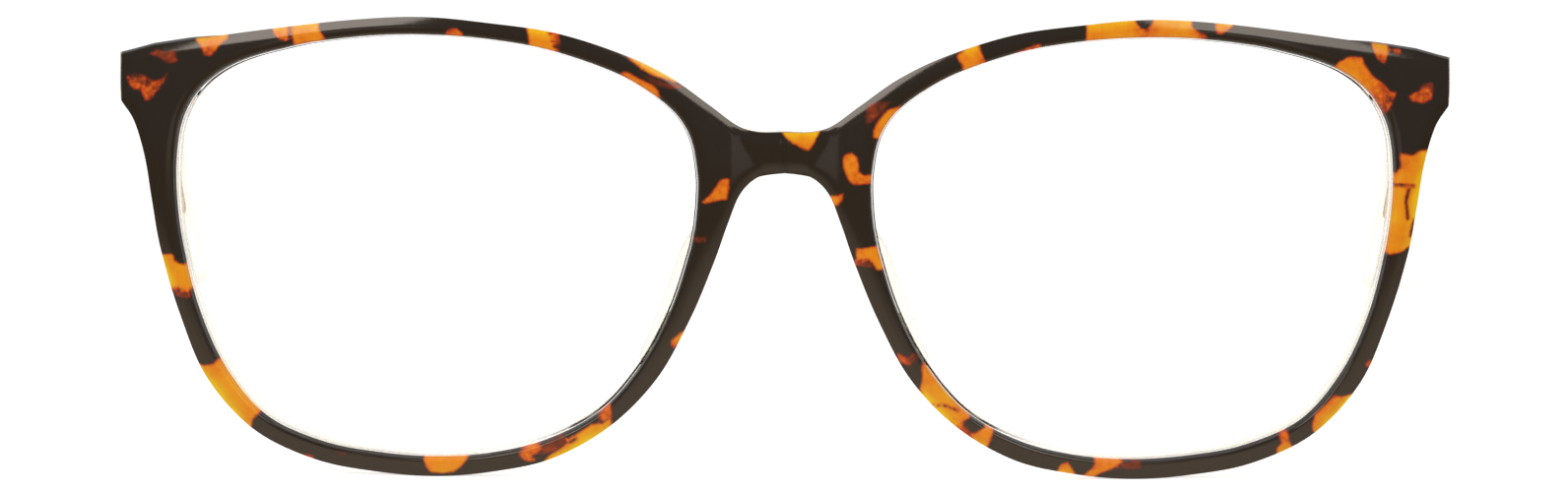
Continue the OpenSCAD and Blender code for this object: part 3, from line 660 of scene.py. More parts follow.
RIGHT_PATCHES = [
    [(971, 57, 0.3), (983, 48, 0.6), (992, 40, 0.5), (996, 54, 0.5), (1000, 62, 0.4),
     (1005, 66, 0.4), (990, 74, 0.75), (980, 76, 0.65), (976, 66, 0.55)],
    [(1031, 54, 0.35), (1044, 49, 0.4), (1050, 46, 0.3), (1056, 46, 0.4), (1056, 53, 0.4),
     (1034, 58, 0.4)],
    [(1102, 16, 0.7), (1103, 30, 0.55), (1102, 48, 0.6), (1150, 48, 0.8), (1210, 46, 0.85),
     (1222, 42, 0.5), (1222, 36, 0.3), (1216, 32, 0.4), (1210, 28, 0.6), (1210, 12, 0.8),
     (1172, 12, 0.85), (1170, 23, 0.6), (1168, 26, 0.4), (1164, 30, 0.35), (1158, 29, 0.4),
     (1153, 23, 0.5), (1153, 12, 0.8)],
    [(1213, 31, 0.1), (1226, 36, 0.05), (1226, 42, 0.08), (1218, 42, 0.2)],
    [(1233, 14, 0.5), (1258, 16, 0.4), (1252, 26, 0.5), (1245, 31, 0.5), (1238, 36, 0.35),
     (1234, 33, 0.4)],
    [(887, 140, 0.5), (886, 134, 0.4), (890, 126, 0.5), (896, 118, 0.6), (902, 112, 0.5),
     (914, 108, 0.5), (912, 118, 0.65), (902, 130, 0.65), (894, 142, 0.6)],
    [(882, 106, 0.0), (894, 104, 0.05), (904, 104, 0.0), (896, 114, 0.08), (888, 122, 0.08),
     (880, 127, 0.05), (878, 118, 0.05)],
    [(857, 158, 0.4), (864, 156, 0.45), (870, 160, 0.45), (872, 166, 0.5), (872, 174, 0.45),
     (878, 179, 0.45), (890, 177, 0.5), (890, 187, 0.45), (876, 187, 0.4), (866, 188, 0.3),
     (861, 182, 0.45), (857, 172, 0.5), (856, 164, 0.45)],
    [(843, 200, 0.4), (850, 199, 0.45), (856, 197, 0.3), (855, 203, 0.4), (850, 209, 0.35),
     (846, 209, 0.3)],
    [(869, 252, 0.5), (880, 252, 0.6), (900, 249, 0.7), (902, 275, 0.85), (890, 274, 0.75),
     (886, 267, 0.6), (880, 264, 0.45), (869, 264, 0.45)],
    [(867, 265, 0.08), (880, 265, 0.12), (886, 268, 0.12), (884, 272, 0.05), (869, 269, 0.08)],
    [(911, 359, 0.0), (916, 361, 0.12), (922, 364, 0.1), (928, 358, 0.0), (932, 364, 0.0),
     (924, 372, 0.02), (918, 370, 0.08), (912, 366, 0.12)],
    [(936, 370, 0.4), (946, 374, 0.75), (964, 398, 0.85), (978, 413, 0.6), (988, 422, 0.55),
     (978, 428, 0.45), (976, 432, 0.45), (970, 438, 0.5), (956, 432, 0.8), (944, 418, 0.75),
     (936, 408, 0.75), (934, 396, 0.5), (936, 384, 0.45)],
    [(990, 440, 0.4), (998, 435, 0.75), (1012, 430, 0.85), (1008, 442, 0.55), (1006, 447, 0.5),
     (1002, 458, 0.5), (994, 460, 0.75), (987, 452, 0.5), (987, 443, 0.4)],
    [(969, 437, 0.05), (978, 430, 0.05), (986, 440, 0.0), (980, 446, 0.0)],
    [(1078, 472, 0.4), (1084, 470, 0.45), (1088, 475, 0.5), (1093, 482, 0.5), (1080, 488, 0.6),
     (1073, 480, 0.5)],
    [(1110, 464, 0.6), (1154, 462, 0.8), (1138, 472, 0.6), (1134, 475, 0.6), (1126, 478, 0.5),
     (1118, 481, 0.45), (1108, 486, 0.35), (1099, 484, 0.3), (1108, 477, 0.4), (1112, 472, 0.5)],
    [(1138, 473, 0.08), (1158, 468, 0.04), (1159, 476, 0.04), (1150, 477, 0.04), (1138, 476, 0.08)],
    [(1354, 69, 0.4), (1360, 62, 0.5), (1370, 58, 0.45), (1383, 58, 0.35), (1386, 66, 0.4),
     (1390, 72, 0.5), (1397, 80, 0.45), (1403, 84, 0.4), (1408, 88, 0.2), (1412, 93, 0.12),
     (1418, 94, 0.15), (1416, 100, 0.12), (1412, 108, 0.1), (1408, 116, 0.12), (1398, 106, 0.3),
     (1386, 92, 0.7), (1374, 80, 0.85), (1362, 73, 0.75)],
    [(1391, 36, 0.6), (1410, 38, 0.55), (1410, 52, 0.45), (1408, 58, 0.3), (1406, 64, 0.15),
     (1400, 62, 0.2), (1397, 56, 0.45), (1394, 50, 0.45)],
    [(1414, 50, 0.1), (1423, 50, 0.1), (1422, 56, 0.08), (1417, 54, 0.05)],
    [(1431, 98, 0.3), (1436, 94, 0.3), (1441, 91, 0.15), (1446, 86, 0.08), (1455, 83, 0.03),
     (1456, 88, 0.03), (1454, 100, 0.08), (1448, 103, 0.2), (1444, 104, 0.35), (1434, 102, 0.3)],
    [(1422, 156, 0.5), (1434, 158, 0.4), (1444, 153, 0.55), (1458, 152, 0.75), (1452, 200, 0.85),
     (1444, 230, 0.75), (1440, 246, 0.55), (1430, 252, 0.5), (1424, 256, 0.5), (1412, 259, 0.45),
     (1406, 256, 0.65), (1410, 220, 0.85), (1412, 190, 0.75), (1414, 182, 0.6), (1423, 170, 0.5)],
    [(1388, 366, 0.15), (1394, 366, 0.15), (1392, 374, 0.15), (1387, 372, 0.08)],
    [(1356, 402, 0.35), (1362, 404, 0.45), (1376, 400, 0.6), (1372, 412, 0.9), (1354, 432, 0.95),
     (1338, 445, 0.75), (1333, 436, 0.45), (1333, 430, 0.45), (1336, 422, 0.55), (1346, 412, 0.5)],
    [(1300, 444, 0.3), (1308, 438, 0.45), (1309, 448, 0.4), (1315, 457, 0.45), (1306, 466, 0.6),
     (1297, 464, 0.5), (1297, 456, 0.4), (1303, 450, 0.5)],
]
THREADS = [
    [(946, 413), (958, 412), (972, 417)], [(1416, 188), (1436, 189)],
    [(1431, 192), (1428, 204), (1430, 222)], [(1436, 224), (1433, 240)], [(580, 449), (584, 446)],
]
THREAD_R = 0.12
print("corners drawn:", sum(len(patch) for patch in LEFT_PATCHES + RIGHT_PATCHES))

# %% [markdown]
# ## Which patch a point lies in
# A corner is moved from the photograph's columns and rows to millimetres on the front. Then
# each point of the mesh asks for the nearest patch and its warmth, which is blended from the
# warmths of the patch's corners. Where patches overlap, the warmest one wins.


# %% From the photograph to the mesh
def from_photo(column, row):
    """A point of the front, upright and in millimetres, from a column and row of the photograph."""
    turn = Matrix.Rotation(-ROLL, 2)
    column, row = turn @ Vector((column - PHOTO_W / 2, row - PHOTO_H / 2))
    x = (column + PHOTO_W / 2 - MIDDLE_COLUMN) / PIXELS_PER_MM
    return upright((x, (TABLE_ROW - row - PHOTO_H / 2) / PIXELS_PER_MM))


class Patch:
    """An outline with a warmth at each corner."""

    def __init__(self, corners):
        self.points = [from_photo(column, row) for column, row, warmth in corners]
        self.warmths = [warmth for column, row, warmth in corners]
        self.low = Vector((min(p.x for p in self.points), min(p.y for p in self.points)))
        self.high = Vector((max(p.x for p in self.points), max(p.y for p in self.points)))

    def is_far(self, p, reach):
        beside = max(self.low.x - p.x, p.x - self.high.x, self.low.y - p.y, p.y - self.high.y)
        return beside > reach

    def distance(self, p):
        """Below 0 inside the outline."""
        inside = False
        near = 1e9
        for a, b in zip(self.points, self.points[1:] + self.points[:1]):
            near = min(near, to_segment(p, a, b))
            if (a.y > p.y) != (b.y > p.y) and p.x < a.x + (p.y - a.y) / (b.y - a.y) * (b.x - a.x):
                inside = not inside
        return -near if inside else near

    def warmth(self, p):
        weights = [1 / ((p - q).length_squared + 0.02) for q in self.points]
        return sum(w * c for w, c in zip(weights, self.warmths)) / sum(weights)


# LIGHT_BAND is the width of the painted glow of light along the outer edge.
FAR, LIGHT_BAND = 0.8, 1.1
patches = [Patch(corners) for corners in LEFT_PATCHES + RIGHT_PATCHES]
threads = [[from_photo(*spot) for spot in thread] for thread in THREADS]
thread_lines = [pair for line in threads for pair in zip(line, line[1:])]
print("patches on the front:", len(patches))


def amber_at(x, z):
    """Distance to the nearest patch, below 0 inside it, and the warmth there."""
    p = Vector((x, z))
    found = [(patch.distance(p), patch) for patch in patches if not patch.is_far(p, FAR)]
    inside = [(-patch.warmth(p), reach, patch) for reach, patch in found if reach < 0]
    if inside:
        warmth, reach, patch = min(inside, key=lambda each: each[0])
        for a, b in thread_lines:
            reach = max(reach, THREAD_R - to_segment(p, a, b))
        return reach, -warmth
    reach, patch = min(found, key=lambda each: each[0], default=(FAR, None))
    return min(reach, FAR), patch.warmth(p) if patch else 0.5


def paint(bm):
    """Writes the attributes of the tortoiseshell onto the points of the flat front."""
    layers = bm.verts.layers
    reach, warmth, rim, matt = (layers.float.new(name) for name in ATTRIBUTES)
    outer = layers.int["outer"]
    for v in bm.verts:
        v[reach], v[warmth] = amber_at(v.co.x, v.co.z)
        # Painted light: nearness to the outer edge, where the amber is lightened as if lit through
        # the thin acetate.
        v[rim] = max(0, 1 - distance(rim_tree, rim_line, v.co.x, v.co.z) / LIGHT_BAND)
        v[matt] = float(v[outer] == 0 and v.co.y > LENS_EDGE_R / 2)


# %% [markdown]
# ## The front
# One eye starts as a circle of points set on the lens opening. Its edge is extruded once to the
# outer outline, and the ring of faces is extruded down through the depth of the layer, with the
# groove for the lens on the way. The half is mirrored across the nose, its edges are rounded,
# and rows are added across the rim before the whole slab is bent.

# %% Layers of the front
ACROSS = 21


def half_ring(depths):
    """The closed slab of one eye. depths: each level's depth and how deep the groove is there."""
    bm, (station, outer) = numbered_ring(COUNT, "station", "outer")
    for v in points_in(bmesh.ops.extrude_edge_only(bm, edges=bm.edges[:])["geom"]):
        v[outer] = 1
    ring = bm.faces[:]
    for level, (depth, groove) in enumerate(depths):
        if level:
            made = bmesh.ops.extrude_face_region(bm, geom=ring)["geom"]
            ring = [f for f in made if isinstance(f, bmesh.types.BMFace)]
        for v in {v for f in ring for v in f.verts}:
            p = front_edge[v[station]] if v[outer] else lens_edge[v[station]]
            p = p if v[outer] else p + groove * lens_out[v[station]]
            v.co = (p.x, depth, p.y)
    return bm


def whole_front(bm):
    """Opens one eye's slab on the nose line and joins it to its mirror image."""
    on_line = [f for f in bm.faces if all(abs(v.co.x) < 1e-5 for v in f.verts)]
    bmesh.ops.delete(bm, geom=on_line, context="FACES")
    loose = [v for v in bm.verts if not v.link_faces]
    bmesh.ops.delete(bm, geom=loose, context="VERTS")
    every = bm.verts[:] + bm.edges[:] + bm.faces[:]
    bmesh.ops.mirror(bm, geom=every, matrix=Matrix.Identity(4), merge_dist=1e-4, axis="X")
    bmesh.ops.recalc_face_normals(bm, faces=bm.faces)
    return bm


def round_edges(bm, depth):
    """Rounds both edges of the face at this depth and adds rows of points across it."""
    outer = bm.verts.layers.int["outer"]
    for which, radius in ((1, OUTER_EDGE_R), (0, LENS_EDGE_R)):
        at_level = [e for e in bm.edges if all(abs(v.co.y - depth) < 1e-5 for v in e.verts)]
        sharp = [e for e in at_level if e.calc_face_angle(0) > 0.7]
        bmesh.ops.bevel(
            bm, geom=[e for e in sharp if all(v[outer] == which for v in e.verts)], offset=radius,
            offset_type="OFFSET", segments=5, profile=0.5, affect="EDGES", clamp_overlap=True,
            material=-1,
        )
    flat = {f for f in bm.faces if all(abs(v.co.y - depth) < 1e-5 for v in f.verts)}
    cross = [
        e for e in bm.edges
        if len(e.link_faces) == 2 and set(e.link_faces) <= flat
        and not all(abs(v.co.x) < 1e-5 for v in e.verts)
    ]
    bmesh.ops.subdivide_edges(bm, edges=cross, cuts=ACROSS, use_grid_fill=True)
    return bm


def bend_slab(bm, flare=0.0):
    """Bends the slab. The flare lets a layer stand out a little at the sides of the end pieces."""
    for v in bm.verts:
        v.co.x += math.copysign(flare * smooth((abs(v.co.x) - FRONT_X + 1) / 0.8), v.co.x)
        v.co = bent(v.co)


BOND_GAP, FLARE = 0.02, 0.14
front = whole_front(half_ring([(0, 0), (TORTOISE_T - GROOVE_HALF, 0), (TORTOISE_T, GROOVE_DEPTH)]))
round_edges(front, 0)
paint(front)
bend_slab(front)
finish(front, "tortoise_front", "front", tortoise, "front_tortoise_layer")

back = whole_front(
    half_ring([(TORTOISE_T + BOND_GAP, GROOVE_DEPTH), (TORTOISE_T + GROOVE_HALF, 0), (FRONT_T, 0)])
)
round_edges(back, FRONT_T)
bend_slab(back, FLARE)
finish(back, "crystal_back", "front", crystal, "front_crystal_layer")


# %% [markdown]
# ## Lenses
# A lens is a thin shell between two spheres. Its edge is cut to a V that sits in the groove.
# Rings of faces run in from the edge loop to the middle, so that both faces curve evenly.

# %% Lenses
LENS_RINGS = (0.97, 0.9, 0.78, 0.64, 0.5, 0.36, 0.22, 0.1, 0)


def lens_blank():
    bm, (station,) = numbered_ring(COUNT, "station")
    centre = Vector((LENS_X, LENS_Z))
    for i, v in enumerate(bm.verts):
        p = lens_edge[i] - LENS_GAP * lens_out[i]
        v.co = (p.x, TORTOISE_T - LENS_T / 2, p.y)
    loop = bm.edges[:]
    for share in LENS_RINGS:
        made = bmesh.ops.extrude_edge_only(bm, edges=loop)["geom"]
        verts = set(points_in(made))
        for v in verts:
            p = centre.lerp(lens_edge[v[station]], share)
            v.co = (p.x, TORTOISE_T - LENS_T / 2, p.y)
        loop = [e for e in edges_in(made) if set(e.verts) <= verts]
    bmesh.ops.remove_doubles(bm, verts=bm.verts, dist=1e-4)
    for v in points_in(bmesh.ops.extrude_face_region(bm, geom=bm.faces[:])["geom"]):
        v.co.y += LENS_T
    walls = [e for e in bm.edges if abs(e.verts[0].co.y - e.verts[1].co.y) > 0.1]
    for v in points_in(bmesh.ops.subdivide_edges(bm, edges=walls, cuts=1)["geom_inner"]):
        i = v[station]
        p = lens_edge[i] + (GROOVE_DEPTH - LENS_GAP) * lens_out[i]
        v.co = (p.x, TORTOISE_T, p.y)
    for v in bm.verts:
        face_y, into = surface(v.co.x, v.co.z)
        v.co = Vector((v.co.x, face_y, v.co.z)) + v.co.y * into
    return bm


for side in ("left", "right"):
    blank = lens_blank() if side == "left" else mirror_to_right(lens_blank())
    finish(blank, f"clear_lens_{side}", "front", clear, f"lens_{side}", sharp=20)

# %% [markdown]
# ## Sweeping a section along a path
# Pads, temples and core wires are long pieces whose section changes along their length. A ring
# of points is set on the first section and extruded from one section to the next, which is
# how a lofted surface is drawn. Both ends are closed by a face.


# %% Sweep
def sweep(sections):
    """Skins closed rings of points. Returns the bmesh."""
    bm, (order,) = numbered_ring(len(sections[0]), "order")
    for i, v in enumerate(bm.verts):
        v.co = sections[0][i]
    first = loop = bm.edges[:]
    for section in sections[1:]:
        made = bmesh.ops.extrude_edge_only(bm, edges=loop)["geom"]
        verts = set(points_in(made))
        for v in verts:
            v.co = section[v[order]]
        loop = [e for e in edges_in(made) if set(e.verts) <= verts]
    bmesh.ops.edgeloop_fill(bm, edges=first)
    bmesh.ops.edgeloop_fill(bm, edges=loop)
    return bm


def rounded(points, steps):
    """A closed Catmull-Rom curve through a ring of points."""
    n = len(points)
    ring = [[points[(k + j) % n] for j in (-1, 0, 1, 2)] for k in range(n)]
    return [curve(*four, i / steps) for four in ring for i in range(steps)]


# %% [markdown]
# ## Nose pads
# The pads are built up from clear acetate on the back of the rim beside the nose, filed to a
# fin that opens towards the face and polished. Their feet are sunk a little in the rim, as the
# bonded pads of a finished frame have no visible joint.

# %% Nose pads
PAD_FIRST, PAD_LAST = 23 * STEPS, 26 * STEPS
PAD_DEPTH, PAD_SPLAY, PAD_EDGE = 5.5, math.radians(12), 1.3
PAD_SPARE, PAD_SINK = 0.35, 0.25
front_out = [right_of(front_edge[(i + 1) % COUNT] - front_edge[i - 1]) for i in range(COUNT)]


def pad_section(i):
    p = lens_edge[i] + EDGE_R * lens_out[i]
    q = front_edge[i] - EDGE_R * front_out[i]
    a, b = (on_sheet(point, FRONT_T - PAD_SINK) for point in (q, p))
    across = (b - a).normalized()
    progress = (i - PAD_FIRST + PAD_SPARE * STEPS) / (PAD_LAST - PAD_FIRST + 2 * PAD_SPARE * STEPS)
    swell = math.sin(math.pi * progress) ** 0.7
    side = Vector((-lens_out[i].x, 0, -lens_out[i].y))
    rise = Vector((0, math.cos(PAD_SPLAY), 0)) + math.sin(PAD_SPLAY) * side
    rise = swell * PAD_DEPTH * rise
    crest = a.lerp(b, 0.5) + rise
    low, high = crest - PAD_EDGE / 2 * across, crest + PAD_EDGE / 2 * across
    points = [
        a, a.lerp(low, 0.55) - 0.2 * swell * across, low, crest + 0.08 * rise, high,
        b.lerp(high, 0.5) + 0.2 * swell * across, b,
    ]
    return rounded(points, 5)


def on_sheet(p, depth):
    face_y, into = surface(p.x, p.y)
    return Vector((p.x, face_y, p.y)) + depth * into


for side in ("left", "right"):
    pad = sweep([pad_section(i) for i in range(PAD_FIRST, PAD_LAST + 1)])
    pad = pad if side == "left" else mirror_to_right(pad)
    name = f"nose_pad_{side}"
    finish(pad, f"{name}_polished", "front", crystal, name)

# %% [markdown]
# ## The line of a temple
# A temple runs back from its hinge, falls a little and bends down behind the ear. Its points are
# given by how far along it they lie, how far out from the bond of its two layers, and how far
# above its middle line. The sizes are the frame's, apart from two: the butt is 0.5 mm lower and
# the tips are drawn in 1 mm less, so that neither shows beside the rims in the photograph's view.

# %% Temple line
TEMPLE_L, STRAIGHT_L, BEND_ANGLE, BEND_R = 145.0, 98.0, math.radians(34), 45.0
OUTER_T, INNER_T = 1.7, 1.5
BUTT_H, SHAFT_H, TIP_H = 4.7, 4.5, 7.4
TIP_INSET, TIP_LEAN, EAR_POWER, LEAN_FOOT = 3.6, math.radians(13), 1.2, 0.25
TEMPLE_EDGE_R, BUTT_GAP, BUTT_INSET, BUTT_L, SLIM_FROM = 0.8, 0.08, 0.25, 9.0, 34.0
WIRE_H, WIRE_T, WIRE_START, WIRE_END, WIRE_GAP = 2.2, 1.1, 14.0, 12.0, 0.04
BUTT_Y = END_Y + BUTT_GAP
BOND_X = FRONT_X - BUTT_INSET - OUTER_T
HINGE_X = BOND_X - INNER_T - AXIS_INSET
TIP_R = TIP_H / 2
BEND_L = BEND_R * BEND_ANGLE
BEND_END = STRAIGHT_L + BEND_L
TAIL_L = TEMPLE_L - BEND_END - TIP_R
RUN = STRAIGHT_L + BEND_R * math.sin(BEND_ANGLE) + TAIL_L * math.cos(BEND_ANGLE)
FALL = BEND_R * (1 - math.cos(BEND_ANGLE)) + TAIL_L * math.sin(BEND_ANGLE)
TIP_FOOT = TIP_R + LEAN_FOOT * math.sin(TIP_LEAN)
SLOPE = math.asin((END_Z - TIP_FOOT) / math.hypot(RUN, FALL)) - math.atan2(FALL, RUN)
WIRE_LAST = TEMPLE_L - WIRE_END


def mix(a, b, t):
    return a + (b - a) * t


def line_angle(s):
    return SLOPE + BEND_ANGLE * min(1, max(0, (s - STRAIGHT_L) / BEND_L))


def line_at(s):
    back, down = (min(s, STRAIGHT_L) * f(SLOPE) for f in (math.cos, math.sin))
    if s > STRAIGHT_L:
        a = line_angle(s)
        back += BEND_R * (math.sin(a) - math.sin(SLOPE))
        down += BEND_R * (math.cos(SLOPE) - math.cos(a))
    tail = max(0, s - BEND_END)
    end = SLOPE + BEND_ANGLE
    return back + tail * math.cos(end), -down - tail * math.sin(end)


def tip_share(s):
    return min(1, max(0, 1 - (TEMPLE_L - s) / TIP_R))


def temple_height(s):
    marks = [
        (0, BUTT_H), (BUTT_L, mix(BUTT_H, SHAFT_H, 0.6)), (SLIM_FROM, SHAFT_H),
        (STRAIGHT_L, mix(SHAFT_H, TIP_H, 0.14)), (BEND_END, mix(SHAFT_H, TIP_H, 0.8)),
        (WIRE_LAST, TIP_H), (TEMPLE_L, TIP_H),
    ]
    for (s1, h1), (s2, h2) in zip(marks, marks[1:]):
        if s <= s2:
            return mix(h1, h2, (s - s1) / (s2 - s1)) * math.sqrt(1 - tip_share(s) ** 2)
    return 0


def temple_point(s, x, v):
    back, down = line_at(s)
    tilt = line_angle(s) * smooth(s / BUTT_L)
    behind_ear = max(0, (s - STRAIGHT_L) / (TEMPLE_L - STRAIGHT_L)) ** EAR_POWER
    lean = TIP_LEAN * behind_ear
    x, v = x * math.cos(lean) + v * math.sin(lean), v * math.cos(lean) - x * math.sin(lean)
    y = BUTT_Y + back + v * math.sin(tilt)
    return Vector((BOND_X - TIP_INSET * behind_ear + x, y, END_Z + down + v * math.cos(tilt)))


print("temples fall by", round(math.degrees(SLOPE), 2), "degrees")

# %% [markdown]
# ## Temples
# Each temple is cut from the same laminated sheet as the front: tortoiseshell outside, clear
# inside, with the core wire shot into the clear layer while it is hot. Each layer is swept
# along the line through sections that round off towards the butt and the tip.

# %% Sections of the temples
FACE_ROWS = 10
TIP_SLIMNESS = 0.75
CHANNEL_RAMP = 0.6
SPACING = 0.55
BUTT_ROUND = 0.15


def channel_share(s):
    after = smooth((s - WIRE_START + CHANNEL_RAMP) / CHANNEL_RAMP)
    return after * smooth((WIRE_LAST + CHANNEL_RAMP - s) / CHANNEL_RAMP)


def layer_profile(s, thickness):
    """Section of one layer as points (out, up), from the bond round the polished edges and back."""
    slim = math.sqrt(1 - (TIP_SLIMNESS * tip_share(s)) ** 2)
    h = temple_height(s) / 2
    t = thickness * slim
    r = min(TEMPLE_EDGE_R, 0.5 * h)
    drawn_in = BUTT_ROUND - math.sqrt(BUTT_ROUND**2 - max(0, BUTT_ROUND - s) ** 2)
    h, t = h - drawn_in, t - drawn_in
    arc = [(math.sin(math.pi / 12 * k), math.cos(math.pi / 12 * k)) for k in range(7)]
    low = [(t - r + r * a, -h + r - r * b) for a, b in arc]
    face = [(t, mix(r - h, h - r, k / FACE_ROWS)) for k in range(1, FACE_ROWS)]
    high = [(t - r + r * b, h - r + r * a) for a, b in arc]
    wire_h = min(WIRE_H / 2 + WIRE_GAP, 0.5 * h)
    wire_t = BOND_GAP / 2 + (WIRE_T / 2 + WIRE_GAP) * channel_share(s)
    channel = [(BOND_GAP / 2, wire_h), (wire_t, 0.7 * wire_h)]
    channel += [(wire_t, -0.7 * wire_h), (BOND_GAP / 2, -wire_h)]
    return [(BOND_GAP / 2, -h)] + low + face + high + [(BOND_GAP / 2, h)] + channel


def temple_stations():
    steps = int((TEMPLE_L - TIP_R - BUTT_ROUND) / SPACING)
    shaft = [mix(BUTT_ROUND, TEMPLE_L - TIP_R, i / steps) for i in range(steps + 1)]
    start = [0, 0.3 * BUTT_ROUND, 0.65 * BUTT_ROUND]
    tip = [TEMPLE_L - TIP_R * (1 - math.sin(math.pi / 2 * k / 16)) for k in range(1, 16)]
    return start + shaft + tip + [TEMPLE_L - 0.0005 * TIP_R]


def temple_layer(thickness, shy=0.0):
    way = math.copysign(1, thickness)
    sections = []
    for s in temple_stations():
        profile = layer_profile(s, abs(thickness) - shy)
        sections.append([temple_point(s, way * out, up) for out, up in profile])
    return sweep(sections)


# %% [markdown]
# ## Amber of the temples
# The temples aren't in the photograph, so a seeded draw lays streaks across them at about the
# spacing that the front has. A streak is a thick line
# with a radius at each end. It crosses the temple or stops on it, and half of them have a
# small fleck beside them.


# %% Streaks of amber
def temple_amber(seed):
    """Streaks across a temple, in its own coordinates: how far along it, and how far up."""
    draw = random.Random(seed)
    streaks, s = [], 5.0
    while s < TEMPLE_L - 3:
        size = draw.uniform(0.5, 1.7)
        lean = draw.uniform(-2.2, 2.2)
        low, high = draw.choice([(-4, 4), (-4, 0.5), (-0.5, 4), (-1, 1)])
        warm = draw.choice([0.2, 0.5, 0.65, 0.75, 0.85])
        streaks.append((s - lean, low, size, s + lean, high, size * draw.uniform(0.4, 1.2), warm))
        if draw.random() < 0.5:
            aside = s + draw.uniform(1.5, 3.5)
            up = draw.uniform(-2, 2)
            end = aside + draw.uniform(0.3, 2)
            streaks.append((aside, up, 0.3, end, up + 0.6, 0.5, warm * 0.6))
        s += draw.uniform(5, 15)
    return streaks


def streak_distance(streak, x, z):
    x1, z1, r1, x2, z2, r2 = streak[:6]
    dx, dz = x2 - x1, z2 - z1
    t = min(1, max(0, ((x - x1) * dx + (z - z1) * dz) / (dx * dx + dz * dz)))
    return math.hypot(x - x1 - t * dx, z - z1 - t * dz) - (r1 + t * (r2 - r1))


def paint_temple(bm, seed):
    streaks = temple_amber(seed)
    reach, warmth = (bm.verts.layers.float.new(name) for name in ATTRIBUTES[:2])
    order = bm.verts.layers.int["order"]
    profiles = [(s, layer_profile(s, OUTER_T)) for s in temple_stations()]
    size = len(profiles[0][1])
    for i, v in enumerate(bm.verts):
        s, profile = profiles[i // size]
        up = profile[v[order]][1]
        v[reach], v[warmth] = min((streak_distance(each, s, up), each[6]) for each in streaks)


# %% [markdown]
# ## Core wires and finished temples
# The wire is oval. The inner face of the clear layer lies 0.01 mm below the hinge plate that is
# sunk in it, so that the two faces don't fall together.

# %% Core wires
WIRE_STEP, WIRE_SIDES, WIRE_BLUNT, WIRE_NOSE = 1.5, 20, (0.94, 0.75, 0.3), 0.12


def core_wire():
    """A wire with an oval section and blunt ends, drawn in over three sections past each end."""
    sections = []
    steps = int((WIRE_LAST - WIRE_START) / WIRE_STEP)
    for k in range(-len(WIRE_BLUNT), steps + len(WIRE_BLUNT) + 1):
        s = WIRE_START + (WIRE_LAST - WIRE_START) * min(1, max(0, k / steps))
        past = max(-k, k - steps)
        blunt = WIRE_BLUNT[past - 1] if past > 0 else 1
        s += WIRE_NOSE * (1 - blunt) * (-1 if k < 0 else 1)
        ring = []
        for i in range(WIRE_SIDES):
            a = 2 * math.pi * i / WIRE_SIDES
            out = WIRE_T / 2 * math.copysign(abs(math.sin(a)) ** 0.7, math.sin(a))
            up = WIRE_H / 2 * math.copysign(abs(math.cos(a)) ** 0.85, math.cos(a))
            ring.append(temple_point(s, blunt * out, blunt * up))
        sections.append(ring)
    return sweep(sections)


FLUSH = 0.01
for side, seed in (("left", 11), ("right", 23)):
    outer = temple_layer(OUTER_T)
    paint_temple(outer, seed)
    inner = temple_layer(-INNER_T, FLUSH)
    pieces = (
        (outer, "tortoise_temple", "tortoiseshell_acetate", tortoise, "temple_outer"),
        (inner, "crystal_temple", "crystal_acetate", crystal_sheet, "temple_inner"),
        (core_wire(), "drawn_wire", "core_wire_metal", drawn, "core_wire"),
    )
    for made, name, slot, material, node in pieces:
        made = made if side == "left" else mirror_to_right(made)
        finish(made, f"{name}_{side}", f"temple_{side}", material, f"{node}_{side}")

# %% [markdown]
# ## Hinges
# A five-barrel hinge is milled from nickel silver. Each barrel is a disc with a straight arm,
# the shape of a letter D. Three stand on the plate that is sunk in the back of the end piece,
# and two stand on the plate along the inner face of the temple. Tumbling rounds their edges.

# %% Hinges
BARREL_R, BARREL_H, BARREL_PLAY, BARRELS = 1.4, 1.0, 0.04, 5
SCREW_R, BORE_GAP, HEAD_R, HEAD_H = 0.7, 0.03, 1.05, 0.5
PLATE_T, PLATE_H, RIB_DEPTH, RIB_COUNT, RIB_W, RIB_SHARE = 0.7, 3.6, 1.9, 3, 0.5, 0.9
TEMPLE_PLATE_L, TEMPLE_PLATE_H, PLATE_SETBACK = 9.0, 2.6, 0.6
HINGE_HALF = BARRELS * BARREL_H / 2
HEAD_SINK = 0.8 * HEAD_H
SOFT = 0.09
ROUND = 48


def soften(bm, width=SOFT, angle=40):
    least = math.radians(angle)
    sharp = [e for e in bm.edges if len(e.link_faces) == 2 and e.calc_face_angle(0) > least]
    bmesh.ops.bevel(
        bm, geom=sharp, offset=width, offset_type="OFFSET", segments=3, profile=0.5,
        affect="EDGES", clamp_overlap=True, material=-1,
    )


def merge_into(whole, part):
    """Adds one bmesh to another."""
    mesh = bpy.data.meshes.new("part")
    part.to_mesh(mesh)
    part.free()
    whole.from_mesh(mesh)
    bpy.data.meshes.remove(mesh)


def block(low, high):
    bm = bmesh.new()
    low, high = Vector(low), Vector(high)
    bmesh.ops.create_cube(bm, size=1)
    bmesh.ops.scale(bm, verts=bm.verts, vec=high - low)
    bmesh.ops.translate(bm, verts=bm.verts, vec=(low + high) / 2)
    return bm


